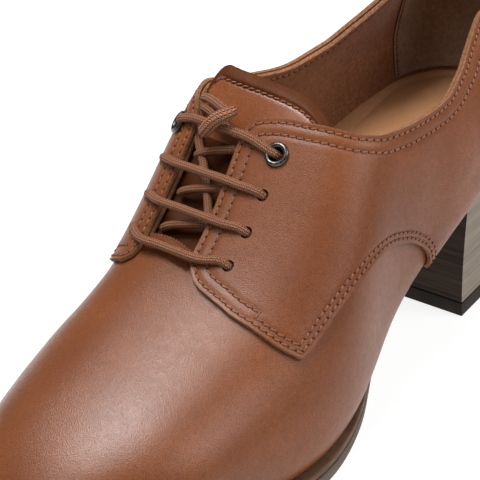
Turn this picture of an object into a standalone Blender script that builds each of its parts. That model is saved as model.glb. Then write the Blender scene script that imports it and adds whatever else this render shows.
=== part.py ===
"""A block-heeled lace-up derby shoe for the left foot, as an assembly of named solids.

Sizes here are millimetres, and a mesh is written in metres when it is made.
A station is the distance from the back of the heel towards the toe. X points to
the outer (lateral) side of the foot, the toe points towards -Y, and Z is up from
the floor, which is z = 0.
"""

import math

import bmesh
import bpy
import numpy as np
from mathutils import Matrix, Vector

# Driving dimensions, in millimetres
LENGTH = 240.0
CENTRE_STATION = 121.0
CENTRE_X = -3.5
HEEL_ROUND = 30.0
HEEL_POWER = 2.2
TOE_ROUND = 46.0
TOE_POWER = 2.3
TOE_TIP_HEIGHT = 8.0
HEEL_TUCK = 4.0
COLLAR_LEAN = 30.0
LEAN_START = 22.0
LEAN_SPAN = 40.0
LEAN_POWER = 1.7
LEAN_REACH = 70.0
WIDEST_FRACTION = 0.2
WIDEST_LIMIT = 0.75
FOOT_RISE = 0.83
WALL_RISE = 0.6

WALL = 1.6
OVERLAY = 1.3
GAP = 0.45
TONGUE_GAP = 0.8
TONGUE_THICKNESS = 1.5
TONGUE_FOOT = 166.0
TONGUE_TAPER = 0.3
TONGUE_LEAN_SPAN = 9.0
INSOLE_THICKNESS = 2.2
INSOLE_INSET = 2.7
SOLE_GAP = 0.3
GROOVE_DROP = 1.9
GROOVE_HEIGHT = 0.7
GROOVE_DEPTH = 0.6
GROOVE_ROUND = 0.2
EDGE_ROUND = 0.6
HEEL_BREAST = 61.0
HEEL_LIFT = 5.5
HEEL_FLOOR_HALF = 25.0
HEEL_FLOOR_BACK = 9.0
HEEL_FLOOR_TAPER = 0.09
HEEL_FLOOR_POWER = 5.0
HEEL_TOP_POWER = 2.6
HEEL_TOP_INSET = 0.8
HEEL_SIDE_CURVE = 1.6
HEEL_BACK_CURVE = 1.3

LACE_RADIUS = 1.5
LACE_CLEAR = 0.3
PUNCHED_RADIUS = 1.9
EYELET_HOLE_RADIUS = 3.0
EYELET_RADIUS = 3.9
EYELET_BORE = 2.2
EYELET_BARREL = 2.6
EYELET_CROWN = 0.9
TOP_HOLE_STATION = 128.0
HOLE_PITCH = 9.0
HOLE_COUNT = 4
LATERAL_HOLE = 0.869
MEDIAL_HOLE = 0.765
MEDIAL_HOLE_SHIFT = -3.0

MESH_SPACING = 9.0
FOOT_ROWS = 2
QUARTER_ROWS = 10
TONGUE_ROWS = 12

# The last, a row for each section. axis: centre line; feather: height of the edge
# where upper and sole meet; lateral and medial: half widths there; bulge, roll and
# widest: how far the wall swells, how squarely it rolls out at its foot and how high it
# is widest; ridge: top of the section, ridge_x from the axis; side: how full the wall
# is; outer_top and inner_top: how full the crown is towards each side.
SECTION_COLUMNS = ("station", "axis", "feather", "lateral", "medial", "bulge", "roll",
                   "widest", "ridge", "ridge_x", "side", "outer_top", "inner_top")
SECTIONS = np.array([
    [0, 0.0, 59.0, 28.0, 27.0, 3.0, 0.70, 18.0, 122.0, 0.0, 0.45, 0.60, 0.60],
    [30, 0.0, 57.0, 28.0, 27.0, 3.4, 0.80, 18.0, 113.0, 0.0, 0.20, 0.50, 0.50],
    [60, -1.0, 51.0, 28.5, 25.5, 6.0, 1.30, 16.0, 112.0, -3.0, 0.40, 0.40, 0.40],
    [85, -3.0, 40.5, 31.0, 26.3, 5.4, 1.15, 16.0, 115.0, -7.0, 0.45, 0.70, 0.74],
    [110, -6.0, 26.5, 34.3, 29.3, 5.2, 1.10, 16.0, 104.0, -10.0, 0.59, 0.88, 1.06],
    [135, -5.6, 13.8, 40.6, 33.4, 4.6, 0.90, 14.0, 79.6, -10.0, 0.52, 0.90, 1.12],
    [160, -5.2, 7.5, 43.9, 38.2, 3.0, 0.75, 11.0, 58.6, -9.4, 0.51, 0.82, 0.87],
    [180, -5.6, 6.2, 41.2, 40.0, 2.4, 0.70, 10.0, 49.0, -7.9, 0.54, 0.77, 0.79],
    [205, -6.3, 7.0, 37.2, 36.5, 2.0, 0.70, 9.0, 41.2, -5.1, 0.58, 0.72, 0.72],
    [225, -8.0, 9.5, 32.1, 32.7, 1.8, 0.70, 9.0, 37.5, -2.5, 0.62, 0.68, 0.68],
    [240, -8.8, 12.5, 27.0, 30.5, 1.6, 0.70, 9.0, 34.4, 0.0, 0.62, 0.65, 0.65],
])

# Collar, facings and throat: how far up its section each side of the upper reaches,
# 0 at the feather edge and 1 at the ridge.
OPENING_COLUMNS = ("station", "lateral", "medial")
OPENING = np.array([
    [0, 0.600, 0.600],
    [3, 0.620, 0.623],
    [8, 0.660, 0.670],
    [20, 0.701, 0.713],
    [35, 0.682, 0.688],
    [43, 0.638, 0.630],
    [50, 0.592, 0.572],
    [62, 0.520, 0.495],
    [74, 0.487, 0.485],
    [92, 0.515, 0.533],
    [104, 0.566, 0.606],
    [112, 0.655, 0.705],
    [118, 0.799, 0.780],
    [121, 0.900, 0.826],
    [123.5, 0.947, 0.856],
    [126, 0.959, 0.872],
    [130, 0.962, 0.885],
    [155.5, 0.954, 0.872],
    [158, 1.000, 1.000],
])
COLLAR_END = 112.0
QUARTER_FOOT = 91.5
QUARTER_FOOT_END = 101.0
THROAT_FOOT = OPENING[-2, 0]
THROAT_END = OPENING[-1, 0]

# Quarter overlays: lower edge and, in front of the throat, upper edge on each section.
QUARTER_COLUMNS = ("station", "low", "high")
LATERAL_QUARTER = np.array([
    [0, 0.025, 0.600],
    [57, 0.025, 0.550],
    [75, 0.085, 0.487],
    [91.5, 0.085, 0.514],
    [94, 0.129, 0.520],
    [101, 0.226, 0.550],
    [109.5, 0.295, 0.618],
    [121, 0.385, 0.900],
    [129.4, 0.445, 0.962],
    [139.6, 0.500, 0.959],
    [149.6, 0.525, 0.956],
    [157.1, 0.527, 0.948],
    [160.5, 0.531, 0.936],
    [162.4, 0.578, 0.920],
    [164.2, 0.645, 0.878],
    [165.2, 0.732, 0.821],
    [165.55, 0.770, 0.797],
])
MEDIAL_QUARTER = np.array([
    [0, 0.025, 0.600],
    [57, 0.025, 0.525],
    [75, 0.085, 0.486],
    [91.5, 0.085, 0.530],
    [94, 0.129, 0.540],
    [101, 0.226, 0.585],
    [109.5, 0.295, 0.670],
    [121, 0.380, 0.826],
    [134.5, 0.468, 0.884],
    [145, 0.510, 0.878],
    [152, 0.530, 0.874],
    [155.6, 0.588, 0.872],
    [158, 0.644, 0.867],
    [160.2, 0.712, 0.856],
    [161.5, 0.778, 0.824],
    [161.8, 0.793, 0.806],
])

# Tongue, a row for each line down it, from the outer edge over the ridge to the inner
# edge. top: station of its upper end; lean: how far that end stands off the foot.
TONGUE_COLUMNS = ("side", "rise", "top", "lean")
TONGUE = [
    (1, 0.740, 116.5, 0.0),
    (1, 0.770, 115.0, 0.0),
    (1, 0.800, 114.0, 0.0),
    (1, 0.860, 113.0, 0.0),
    (1, 0.940, 112.8, 0.0),
    (1, 1.000, 112.5, 0.2),
    (-1, 0.940, 112.0, 0.8),
    (-1, 0.890, 111.2, 1.6),
    (-1, 0.850, 110.4, 2.4),
    (-1, 0.815, 109.6, 3.0),
    (-1, 0.785, 109.0, 3.4),
]

# A lace bar, from the outer hole over the throat to the inner hole. share: how much of
# the holes' shift it has taken up.
BAR_COLUMNS = ("side", "rise", "share")
BAR = [
    (1, LATERAL_HOLE, 0.00),
    (1, 0.915, 0.14),
    (1, 0.955, 0.27),
    (-1, 0.878, 0.68),
    (-1, 0.825, 0.84),
    (-1, MEDIAL_HOLE, 1.00),
]
BAR_THROAT = 3

# A lace run between two bars, close over the tongue: how far ahead of its row of holes, X.
CROSSING = [
    (5.0, -23.0),
    (4.0, -18.8),
    (3.1, -14.6),
    (2.2, -10.5),
]

# Cord ends, as station, X and lift: the knot over the top bar, and two strands from behind
# the inner facing.
CORDS = {
    "lace_knot": [
        (129.5, -21.2, 3.2),
        (128.3, -18.4, 5.4),
        (126.8, -16.0, 6.7),
        (125.3, -14.3, 6.8),
        (124.1, -12.9, 6.0),
    ],
    "lace_end_1": [
        (120.5, -26.6, 0.6),
        (121.4, -23.7, 1.2),
        (122.4, -20.6, 2.0),
    ],
    "lace_end_2": [
        (122.7, -27.4, -0.2),
        (123.3, -25.4, 0.0),
        (123.9, -23.4, 0.2),
    ],
}

# Sole: how far it stands out past the feather edge, and how thick it is.
LEDGE_COLUMNS = ("station", "ledge", "thickness")
LEDGE = np.array([
    [0, 2.2, 5.0],
    [45, 2.2, 5.0],
    [62, 0.8, 4.4],
    [78, 0.0, 4.0],
    [108, 0.0, 4.0],
    [122, 0.8, 4.8],
    [140, 2.8, 6.2],
    [160, 3.2, 7.0],
    [205, 3.3, 7.0],
    [240, 3.4, 6.5],
])

# Part materials: linear colour, roughness, metallic
LEATHER = (0.265, 0.100, 0.050)
SOLE_EDGE = (0.130, 0.105, 0.085)
HEEL_STACK = (0.160, 0.130, 0.100)
RUBBER = (0.020, 0.018, 0.016)
INSOLE_TAN = (0.400, 0.215, 0.105)
GUNMETAL = (0.090, 0.090, 0.095)
LACE_BROWN = (0.180, 0.062, 0.033)


def natural_spline(knots, values, at):
    """Natural cubic spline through the values, evaluated at the given places."""
    count = len(knots)
    gaps = np.diff(knots)
    slopes = np.diff(values) / gaps
    system = np.eye(count)
    target = np.zeros(count)
    for i in range(1, count - 1):
        system[i, i - 1:i + 2] = gaps[i - 1], 2 * (gaps[i - 1] + gaps[i]), gaps[i]
        target[i] = 6 * (slopes[i] - slopes[i - 1])
    bend = np.linalg.solve(system, target)
    i = np.clip(np.searchsorted(knots, at) - 1, 0, count - 2)
    before = at - knots[i]
    after = knots[i + 1] - at
    line = values[i] + slopes[i] * before
    curve = bend[i] * (after ** 3 / gaps[i] - gaps[i] * after)
    curve = curve + bend[i + 1] * (before ** 3 / gaps[i] - gaps[i] * before)
    return line + curve / 6


def eased(table, name, columns, station):
    """A table's column between its rows, with the slope kept from overshooting."""
    knots = table[:, 0]
    values = table[:, columns.index(name)]
    slopes = np.diff(values) / np.diff(knots)
    same_way = slopes[:-1] * slopes[1:] > 0
    safe = np.where(same_way, slopes[:-1] + slopes[1:], 1.0)
    middle = np.where(same_way, 2 * slopes[:-1] * slopes[1:] / safe, 0.0)
    tangent = np.concatenate([slopes[:1], middle, slopes[-1:]])
    station = np.clip(station, knots[0], knots[-1])
    i = np.clip(np.searchsorted(knots, station) - 1, 0, len(knots) - 2)
    gap = knots[i + 1] - knots[i]
    t = (station - knots[i]) / gap
    start = (1 + 2 * t) * (1 - t) ** 2 * values[i] + t * (1 - t) ** 2 * gap * tangent[i]
    end = t * t * (3 - 2 * t) * values[i + 1] + t * t * (t - 1) * gap * tangent[i + 1]
    return start + end


def section(name, station):
    """A column of the last's table at any station."""
    station = np.asarray(station, float)
    return natural_spline(SECTIONS[:, 0], SECTIONS[:, SECTION_COLUMNS.index(name)], station)


def end_rounding(station):
    """Share of the full width left at a station, for both ends and for the toe alone."""
    heel = np.clip(1 - station / HEEL_ROUND, 0, 1)
    toe = np.clip((station - LENGTH + TOE_ROUND) / TOE_ROUND, 0, 1)
    heel_share = (1 - heel ** HEEL_POWER) ** (1 / HEEL_POWER)
    toe_share = (1 - toe ** TOE_POWER) ** (1 / TOE_POWER)
    return heel_share * toe_share, toe_share


def bezier(start, first, second, end, t):
    """Cubic Bezier between two values."""
    u = 1 - t
    return u ** 3 * start + 3 * u * u * t * first + 3 * u * t * t * second + t ** 3 * end


def on_last(station, rise, side):
    """Point of the last in millimetres: rise 0 is the feather edge, 1 the ridge."""
    station, rise = np.broadcast_arrays(np.asarray(station, float), np.asarray(rise, float))
    share, toe_share = end_rounding(station)
    feather = section("lateral" if side > 0 else "medial", station) * share
    widest = feather + section("bulge", station) * share
    crown = section("ridge_x", station) * share * side
    low = section("feather", station)
    tip = low + TOE_TIP_HEIGHT
    ridge = section("ridge", station)
    ridge = np.where(station > LENGTH - TOE_ROUND, tip + (ridge - tip) * toe_share, ridge)
    wall = np.minimum(section("widest", station), WIDEST_LIMIT * (ridge - low))
    waist = low + wall
    roll = section("roll", station)
    foot = low + FOOT_RISE * np.maximum(1 - roll, 0) * wall
    t = np.clip(rise / WIDEST_FRACTION, 0, 1)
    lower_x = bezier(feather, feather + roll * (widest - feather), widest, widest, t)
    lower_z = bezier(low, foot, low + WALL_RISE * wall, waist, t)
    t = np.clip((rise - WIDEST_FRACTION) / (1 - WIDEST_FRACTION), 0, 1)
    fullness = section("outer_top" if side > 0 else "inner_top", station)
    upper_x = bezier(widest, widest, crown + fullness * (widest - crown), crown, t)
    upper_z = bezier(waist, waist + section("side", station) * (ridge - waist), ridge, ridge, t)
    x = np.where(rise < WIDEST_FRACTION, lower_x, upper_x) * side + section("axis", station)
    z = np.where(rise < WIDEST_FRACTION, lower_z, upper_z)
    tuck = HEEL_TUCK * np.clip(1 - (z - low) / LEAN_START, 0, 1) ** 2
    lean = COLLAR_LEAN * np.clip((z - low - LEAN_START) / LEAN_SPAN, 0, 2) ** LEAN_POWER
    forward = station + (tuck + lean) * np.clip(1 - station / LEAN_REACH, 0, 1) ** 2
    return np.stack([x - CENTRE_X, CENTRE_STATION - forward, z], -1)


def outward(station, rise, side):
    """Unit normal of the last, away from the foot."""
    step = 0.05
    station = np.clip(station, 2 * step, LENGTH - 2 * step)
    rise = np.asarray(rise, float)
    along = on_last(station + step, rise, side) - on_last(station - step, rise, side)
    higher = np.minimum(rise + 0.002, 1.0)
    lower = np.maximum(rise - 0.002, 0.0)
    up = on_last(station, higher, side) - on_last(station, lower, side)
    normal = np.cross(up, along) * side
    return normal / np.linalg.norm(normal, axis=-1, keepdims=True)


def lifted(station, rise, side, lift):
    """Point at a distance outside the last."""
    return on_last(station, rise, side) + lift * outward(station, rise, side)


def over_instep(station, x, lift):
    """Point above the instep at a given X, and the normal there."""
    ridge = on_last(station, 1.0, 1)
    side = 1 if x > ridge[0] else -1
    rises = np.linspace(0.5, 1.0, 101)
    xs = on_last(np.full(101, station), rises, side)[:, 0] * side
    rise = np.interp(-x * side, -xs, rises)
    return lifted(station, rise, side, lift)


def stations(start, end, spacing, extra=()):
    """Stations between two places, closer together where the ends of the last turn."""
    turn = 1 - np.cos(np.linspace(0, math.pi / 2, 7))
    heel = HEEL_ROUND * turn
    toe = LENGTH - TOE_ROUND * turn
    middle = np.arange(HEEL_ROUND + spacing, LENGTH - TOE_ROUND, spacing)
    wanted = np.unique(np.round(np.concatenate([heel, middle, toe, extra, [start, end]]), 2))
    wanted = wanted[(wanted >= start) & (wanted <= end)]
    fixed = set(np.round(np.concatenate([extra, [start, end], heel, toe]), 2))
    kept = [s for s in wanted if s in fixed or min(abs(s - f) for f in fixed) > 0.35 * spacing]
    return np.array(kept)


def collection(name):
    made = bpy.data.collections.new(name)
    bpy.context.scene.collection.children.link(made)
    return made


def material(name, colour, roughness, metallic=0.0):
    made = bpy.data.materials.new(name)
    made.use_nodes = True
    shader = made.node_tree.nodes["Principled BSDF"]
    shader.inputs["Base Color"].default_value = (*colour, 1.0)
    shader.inputs["Roughness"].default_value = roughness
    shader.inputs["Metallic"].default_value = metallic
    return made


def finish_mesh(name, bm, colour, roughness, metallic=0.0, home=None):
    """Write a bmesh in millimetres as a named object in metres."""
    bmesh.ops.remove_doubles(bm, verts=bm.verts, dist=0.01)
    bmesh.ops.dissolve_degenerate(bm, edges=bm.edges, dist=0.01)
    bmesh.ops.scale(bm, vec=Vector((0.001, 0.001, 0.001)), verts=bm.verts)
    mesh = bpy.data.meshes.new(name)
    bm.to_mesh(mesh)
    bm.free()
    made = bpy.data.objects.new(name, mesh)
    mesh.materials.append(material(name, colour, roughness, metallic))
    (home or SHOE).objects.link(made)
    return made


def add_grid(bm, points, flip):
    """Quads through a grid of points."""
    verts = [[bm.verts.new(p) for p in row] for row in points]
    for i in range(len(verts) - 1):
        for j in range(len(verts[0]) - 1):
            quad = [verts[i][j], verts[i + 1][j], verts[i + 1][j + 1], verts[i][j + 1]]
            bm.faces.new(quad[::-1] if flip else quad)


def add_loft(bm, rings):
    """Skin closed rings of equal length and close both ends across the rings."""
    loops = [[bm.verts.new(p) for p in ring] for ring in rings]
    count = len(loops[0])
    for lower, upper in zip(loops, loops[1:]):
        for i in range(count):
            k = (i + 1) % count
            bm.faces.new([lower[i], lower[k], upper[k], upper[i]])
    for loop in (loops[0], loops[-1]):
        for i in range(count // 2 - 1):
            bm.faces.new([loop[i], loop[i + 1], loop[count - 2 - i], loop[count - 1 - i]])
    bmesh.ops.remove_doubles(bm, verts=bm.verts, dist=0.01)
    bmesh.ops.recalc_face_normals(bm, faces=bm.faces)


def shell(made, thickness, offset):
    """Give an open surface its wall, inwards for -1 and outwards for 1."""
    solid = made.modifiers.new("wall", "SOLIDIFY")
    solid.thickness = thickness / 1000
    solid.offset = offset
    solid.use_quality_normals = True
    return made


def cut(made, cutter):
    hole = made.modifiers.new("holes", "BOOLEAN")
    hole.operation = "DIFFERENCE"
    hole.solver = "EXACT"
    hole.object = cutter


def lace(name, points):
    """A round lace along a smooth route through a few points."""
    route = np.array(points)
    lengths = np.concatenate([[0], np.cumsum(np.linalg.norm(np.diff(route, axis=0), axis=1))])
    count = max(5, int(lengths[-1] / (2.0 * LACE_RADIUS)) + 1)
    at = np.linspace(0, lengths[-1], count)
    smooth = np.stack([natural_spline(lengths, route[:, k], at) for k in range(3)], -1)
    curve = bpy.data.curves.new(name, "CURVE")
    curve.dimensions = "3D"
    curve.bevel_depth = LACE_RADIUS / 1000
    curve.bevel_resolution = 2
    curve.use_fill_caps = True
    spline = curve.splines.new("POLY")
    spline.points.add(count - 1)
    for point, place in zip(spline.points, smooth):
        point.co = (*(place / 1000), 1.0)
    curve.materials.append(material(name, LACE_BROWN, 0.8))
    made = bpy.data.objects.new(name, curve)
    SHOE.objects.link(made)
    return made


def upper():
    """Hollow upper on the last, open at collar, throat and underneath."""
    bm = bmesh.new()
    quarter_foot = LATERAL_QUARTER[LATERAL_QUARTER[:, 0] < COLLAR_END, 0]
    facing = OPENING[OPENING[:, 0] >= COLLAR_END, 0]
    throat = np.linspace(THROAT_FOOT, THROAT_END, 4)
    along = stations(0, LENGTH, MESH_SPACING, np.concatenate([quarter_foot, facing, throat]))
    even_foot = FOOT_ROWS / (FOOT_ROWS + QUARTER_ROWS - 1)
    for side, name, table in ((1, "lateral", LATERAL_QUARTER), (-1, "medial", MEDIAL_QUARTER)):
        top = eased(OPENING, name, OPENING_COLUMNS, along)[:, None]
        low = eased(table, "low", QUARTER_COLUMNS, along)[:, None]
        foot = np.minimum(low, even_foot * top)
        below = foot * np.linspace(0, 1, FOOT_ROWS + 1)[:-1]
        above = foot + (top - foot) * np.linspace(0, 1, QUARTER_ROWS)
        rise = np.concatenate([below, above], axis=1)
        grid = on_last(along[:, None] + 0 * rise, rise, side)
        add_grid(bm, grid, side > 0)
    made = finish_mesh("upper", bm, LEATHER, 0.45)
    return shell(made, WALL, -1)


def quarter(name, side, table):
    """Overlay from the collar and facing down to its own lower edge."""
    bm = bmesh.new()
    facing = OPENING[(OPENING[:, 0] >= COLLAR_END) & (OPENING[:, 0] < THROAT_FOOT), 0]
    foot = np.linspace(QUARTER_FOOT, QUARTER_FOOT_END, 6)
    along = stations(0, table[-1, 0], MESH_SPACING, np.concatenate([facing, table[:, 0], foot]))
    low = eased(table, "low", QUARTER_COLUMNS, along)
    opening = eased(OPENING, "lateral" if side > 0 else "medial", OPENING_COLUMNS, along)
    front = eased(table, "high", QUARTER_COLUMNS, along)
    high = np.where(along > THROAT_FOOT, front, opening)
    rise = low[:, None] + (high - low)[:, None] * np.linspace(0, 1, QUARTER_ROWS)
    grid = lifted(along[:, None] + 0 * rise, rise, side, GAP)
    behind = along < HEEL_ROUND
    back_seam = GAP / 2 - CENTRE_X * side
    grid[behind, :, 0] = np.maximum(grid[behind, :, 0] * side, back_seam) * side
    add_grid(bm, grid, side > 0)
    made = finish_mesh(name, bm, LEATHER, 0.45)
    return shell(made, OVERLAY, 1)


def tongue():
    """Strip under the throat, narrowing to its foot, with an end that leans off the foot."""
    bm = bmesh.new()
    down = np.linspace(0, 1, TONGUE_ROWS)
    lines = []
    for row in TONGUE:
        at = dict(zip(TONGUE_COLUMNS, row))
        along = at["top"] + (TONGUE_FOOT - at["top"]) * down
        rise = 1 - (1 - at["rise"]) * (1 - TONGUE_TAPER * down)
        free = np.clip(1 - (along - at["top"]) / TONGUE_LEAN_SPAN, 0, 1)
        lift = at["lean"] * free ** 2 - WALL - TONGUE_GAP
        lines.append(lifted(along, rise, at["side"], lift[:, None]))
    add_grid(bm, np.stack(lines, axis=1), True)
    made = finish_mesh("tongue", bm, LEATHER, 0.5)
    return shell(made, TONGUE_THICKNESS, -1)


def feather_outline(along, distance):
    """Closed outline of the feather edge in plan, moved outwards by a distance."""
    outline = []
    for side in (1, -1):
        edge = on_last(along, 0.0, side)[:, :2]
        outline.append(edge if side > 0 else edge[::-1])
    ring = np.concatenate(outline)
    seam = len(along)
    tangent = np.roll(ring, -1, axis=0) - np.roll(ring, 1, axis=0)
    tangent[[0, -1, seam - 1, seam]] = [(1, 0), (1, 0), (-1, 0), (-1, 0)]
    tangent /= np.linalg.norm(tangent, axis=1, keepdims=True)
    normal = np.stack([-tangent[:, 1], tangent[:, 0]], -1)
    distance = np.concatenate([distance, distance[::-1]])
    return ring + normal * distance[:, None]


def feather_height(ring):
    return section("feather", np.clip(CENTRE_STATION - ring[:, 1], 0, LENGTH))


def plan_ring(ring, height):
    return np.column_stack([ring, np.broadcast_to(height, len(ring))])


def insole():
    """Sock board inside, following the feather edge."""
    bm = bmesh.new()
    along = stations(0, LENGTH, MESH_SPACING)
    ring = feather_outline(along, np.full(len(along), -INSOLE_INSET))
    floor = feather_height(ring)
    add_loft(bm, [plan_ring(ring, floor), plan_ring(ring, floor + INSOLE_THICKNESS)])
    return finish_mesh("insole", bm, INSOLE_TAN, 0.6)


def sole_bottom(ring, thickness):
    """Underside of the sole, flat on the floor where the ball of the foot bears."""
    return np.maximum(feather_height(ring) - thickness, 0.0)


def outsole():
    """Full-length sole with a stepped and grooved side."""
    bm = bmesh.new()
    along = stations(0, LENGTH, MESH_SPACING)
    ledge = eased(LEDGE, "ledge", LEDGE_COLUMNS, along)
    thickness = eased(LEDGE, "thickness", LEDGE_COLUMNS, along)
    thickness = np.concatenate([thickness, thickness[::-1]])
    outer = feather_outline(along, ledge)
    top = feather_height(outer) - SOLE_GAP
    bottom = sole_bottom(outer, thickness)
    groove_top = top - GROOVE_DROP
    groove_foot = groove_top - GROOVE_HEIGHT
    levels = [
        (EDGE_ROUND, bottom),
        (0.0, bottom + EDGE_ROUND),
        (0.0, groove_foot),
        (GROOVE_DEPTH, groove_foot + GROOVE_ROUND),
        (GROOVE_DEPTH, groove_top - GROOVE_ROUND),
        (0.0, groove_top),
        (0.0, top - EDGE_ROUND / 2),
        (EDGE_ROUND, top),
    ]
    rings = [plan_ring(feather_outline(along, ledge - inset), height) for inset, height in levels]
    add_loft(bm, rings)
    return finish_mesh("outsole", bm, SOLE_EDGE, 0.55)


def heel_outline(half, back, taper, power, count=15):
    """Outline of the heel in plan: straight breast, tapering sides, round back."""
    turn = np.sin(np.linspace(0, math.pi / 2, count))
    depth = turn * (HEEL_BREAST - back)
    width = (half - taper * depth) * np.sqrt(1 - turn ** power)
    y = CENTRE_STATION - HEEL_BREAST + depth
    lateral = np.column_stack([width - CENTRE_X, y])
    medial = np.column_stack([-width - CENTRE_X, y])
    return np.concatenate([lateral, medial[::-1]])


def heel():
    """Stacked block from the sole's underside down to the top lift."""
    bm = bmesh.new()
    thickness = LEDGE[0, LEDGE_COLUMNS.index("thickness")]
    top_half = section("lateral", HEEL_BREAST) - HEEL_TOP_INSET
    top_back = HEEL_TUCK - HEEL_TOP_INSET
    floor = HEEL_LIFT + SOLE_GAP
    rings = []
    for t in np.linspace(0, 1, 6):
        half = HEEL_FLOOR_HALF + (top_half - HEEL_FLOOR_HALF) * t ** HEEL_SIDE_CURVE
        back = HEEL_FLOOR_BACK + (top_back - HEEL_FLOOR_BACK) * t ** HEEL_BACK_CURVE
        taper = HEEL_FLOOR_TAPER * (1 - t)
        power = HEEL_FLOOR_POWER + (HEEL_TOP_POWER - HEEL_FLOOR_POWER) * t
        ring = heel_outline(half, back, taper, power)
        top = feather_height(ring) - thickness - SOLE_GAP
        rings.append(plan_ring(ring, floor + (top - floor) * t))
    add_loft(bm, rings)
    return finish_mesh("heel", bm, HEEL_STACK, 0.5)


def top_lift():
    """Rubber plate under the heel, which stands on the floor."""
    bm = bmesh.new()
    ring = heel_outline(HEEL_FLOOR_HALF, HEEL_FLOOR_BACK, HEEL_FLOOR_TAPER, HEEL_FLOOR_POWER)
    add_loft(bm, [plan_ring(ring, 0.0), plan_ring(ring, HEEL_LIFT)])
    return finish_mesh("top_lift", bm, RUBBER, 0.7)


def hole_station(row, side):
    return TOP_HOLE_STATION + HOLE_PITCH * row + (0.0 if side > 0 else MEDIAL_HOLE_SHIFT)


def hole_matrix(row, side, lift):
    """Frame with Z along the upper's normal at a lace hole."""
    rise = LATERAL_HOLE if side > 0 else MEDIAL_HOLE
    place = lifted(hole_station(row, side), rise, side, lift) / 1000
    turn = Vector(outward(hole_station(row, side), rise, side)).to_track_quat("Z", "Y")
    return Matrix.Translation(Vector(place)) @ turn.to_matrix().to_4x4()


def hole_cutter():
    """Cylinders through both layers at the lace holes."""
    bm = bmesh.new()
    for side in (1, -1):
        for row in range(HOLE_COUNT):
            radius = EYELET_HOLE_RADIUS if row == 0 else PUNCHED_RADIUS
            frame = hole_matrix(row, side, 0.0)
            frame.translation *= 1000
            bmesh.ops.create_cone(bm, cap_ends=True, segments=14, radius1=radius,
                                  radius2=radius, depth=12, matrix=frame)
    made = finish_mesh("hole_cutter", bm, LEATHER, 0.5, home=CUTTERS)
    made.hide_render = True
    made.display_type = "WIRE"
    return made


def eyelet(name, side):
    """Turned metal ring in the top hole: barrel through the wall, flange outside."""
    inside = -OVERLAY - GAP - WALL
    flange = LACE_CLEAR
    crown = flange + EYELET_CROWN
    profile = [
        (EYELET_BORE, inside),
        (EYELET_BARREL, inside),
        (EYELET_BARREL, flange),
        (EYELET_RADIUS, flange),
        (EYELET_RADIUS - 0.2, crown - 0.4),
        (EYELET_BARREL + 0.3, crown),
        (EYELET_BORE, crown - 0.3),
    ]
    bm = bmesh.new()
    corners = [bm.verts.new((radius, 0, height)) for radius, height in profile]
    for first, second in zip(corners, corners[1:] + corners[:1]):
        bm.edges.new((first, second))
    made = finish_mesh(name, bm, GUNMETAL, 0.3, 0.9)
    made.matrix_world = hole_matrix(0, side, GAP + OVERLAY)
    turn = made.modifiers.new("turn", "SCREW")
    turn.axis = "Z"
    turn.steps = 20
    turn.render_steps = 20
    turn.use_merge_vertices = True
    turn.merge_threshold = 0.00001
    turn.use_normal_flip = True
    return made


def lace_bars():
    """Taut bars over the facings, a bar for each row of holes."""
    lift = GAP + OVERLAY + LACE_CLEAR + LACE_RADIUS
    for row in range(HOLE_COUNT):
        points = []
        for values in BAR:
            at = dict(zip(BAR_COLUMNS, values))
            station = hole_station(row, 1) + MEDIAL_HOLE_SHIFT * at["share"]
            points.append(lifted(station, at["rise"], at["side"], lift))
        outer, inner = points[BAR_THROAT - 1:BAR_THROAT + 1]
        points[BAR_THROAT:BAR_THROAT] = [outer + (inner - outer) * t for t in (0.33, 0.67)]
        clear_of_eyelets = points[1:-1] if row == 0 else points
        lace(f"lace_bar_{row + 1}", clear_of_eyelets)


def lace_crossings():
    """Runs that show in the throat between the bars, close over the tongue."""
    lift = LACE_CLEAR + LACE_RADIUS - WALL - TONGUE_GAP
    for row in range(HOLE_COUNT - 1):
        first = hole_station(row, 1)
        points = [over_instep(first + ahead, x - CENTRE_X, lift) for ahead, x in CROSSING]
        lace(f"lace_crossing_{row + 1}", points)


def lace_cords():
    """Hand-placed cord ends over the throat."""
    for name, rows in CORDS.items():
        lace(name, [over_instep(station, x - CENTRE_X, lift) for station, x, lift in rows])


for leftover in list(bpy.data.objects):
    bpy.data.objects.remove(leftover, do_unlink=True)

SHOE = collection("derby_shoe")
CUTTERS = collection("cutters")

holes = hole_cutter()
outsole()
heel()
top_lift()
insole()
cut(upper(), holes)
tongue()
cut(quarter("quarter_lateral", 1, LATERAL_QUARTER), holes)
cut(quarter("quarter_medial", -1, MEDIAL_QUARTER), holes)
eyelet("eyelet_lateral", 1)
eyelet("eyelet_medial", -1)
lace_bars()
lace_crossings()
lace_cords()
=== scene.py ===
"""The finished looks of a left derby shoe with a stacked block heel.

Sizes are millimetres until a mesh is placed, in metres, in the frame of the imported
solids. A station is the distance from the back of the heel towards the toe, which
points to -Y. X points to the outer side of the foot, and Z is up from the floor.
"""

import math

import bmesh
import bpy
import numpy as np
from mathutils import Matrix, Vector
from mathutils.kdtree import KDTree


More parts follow.
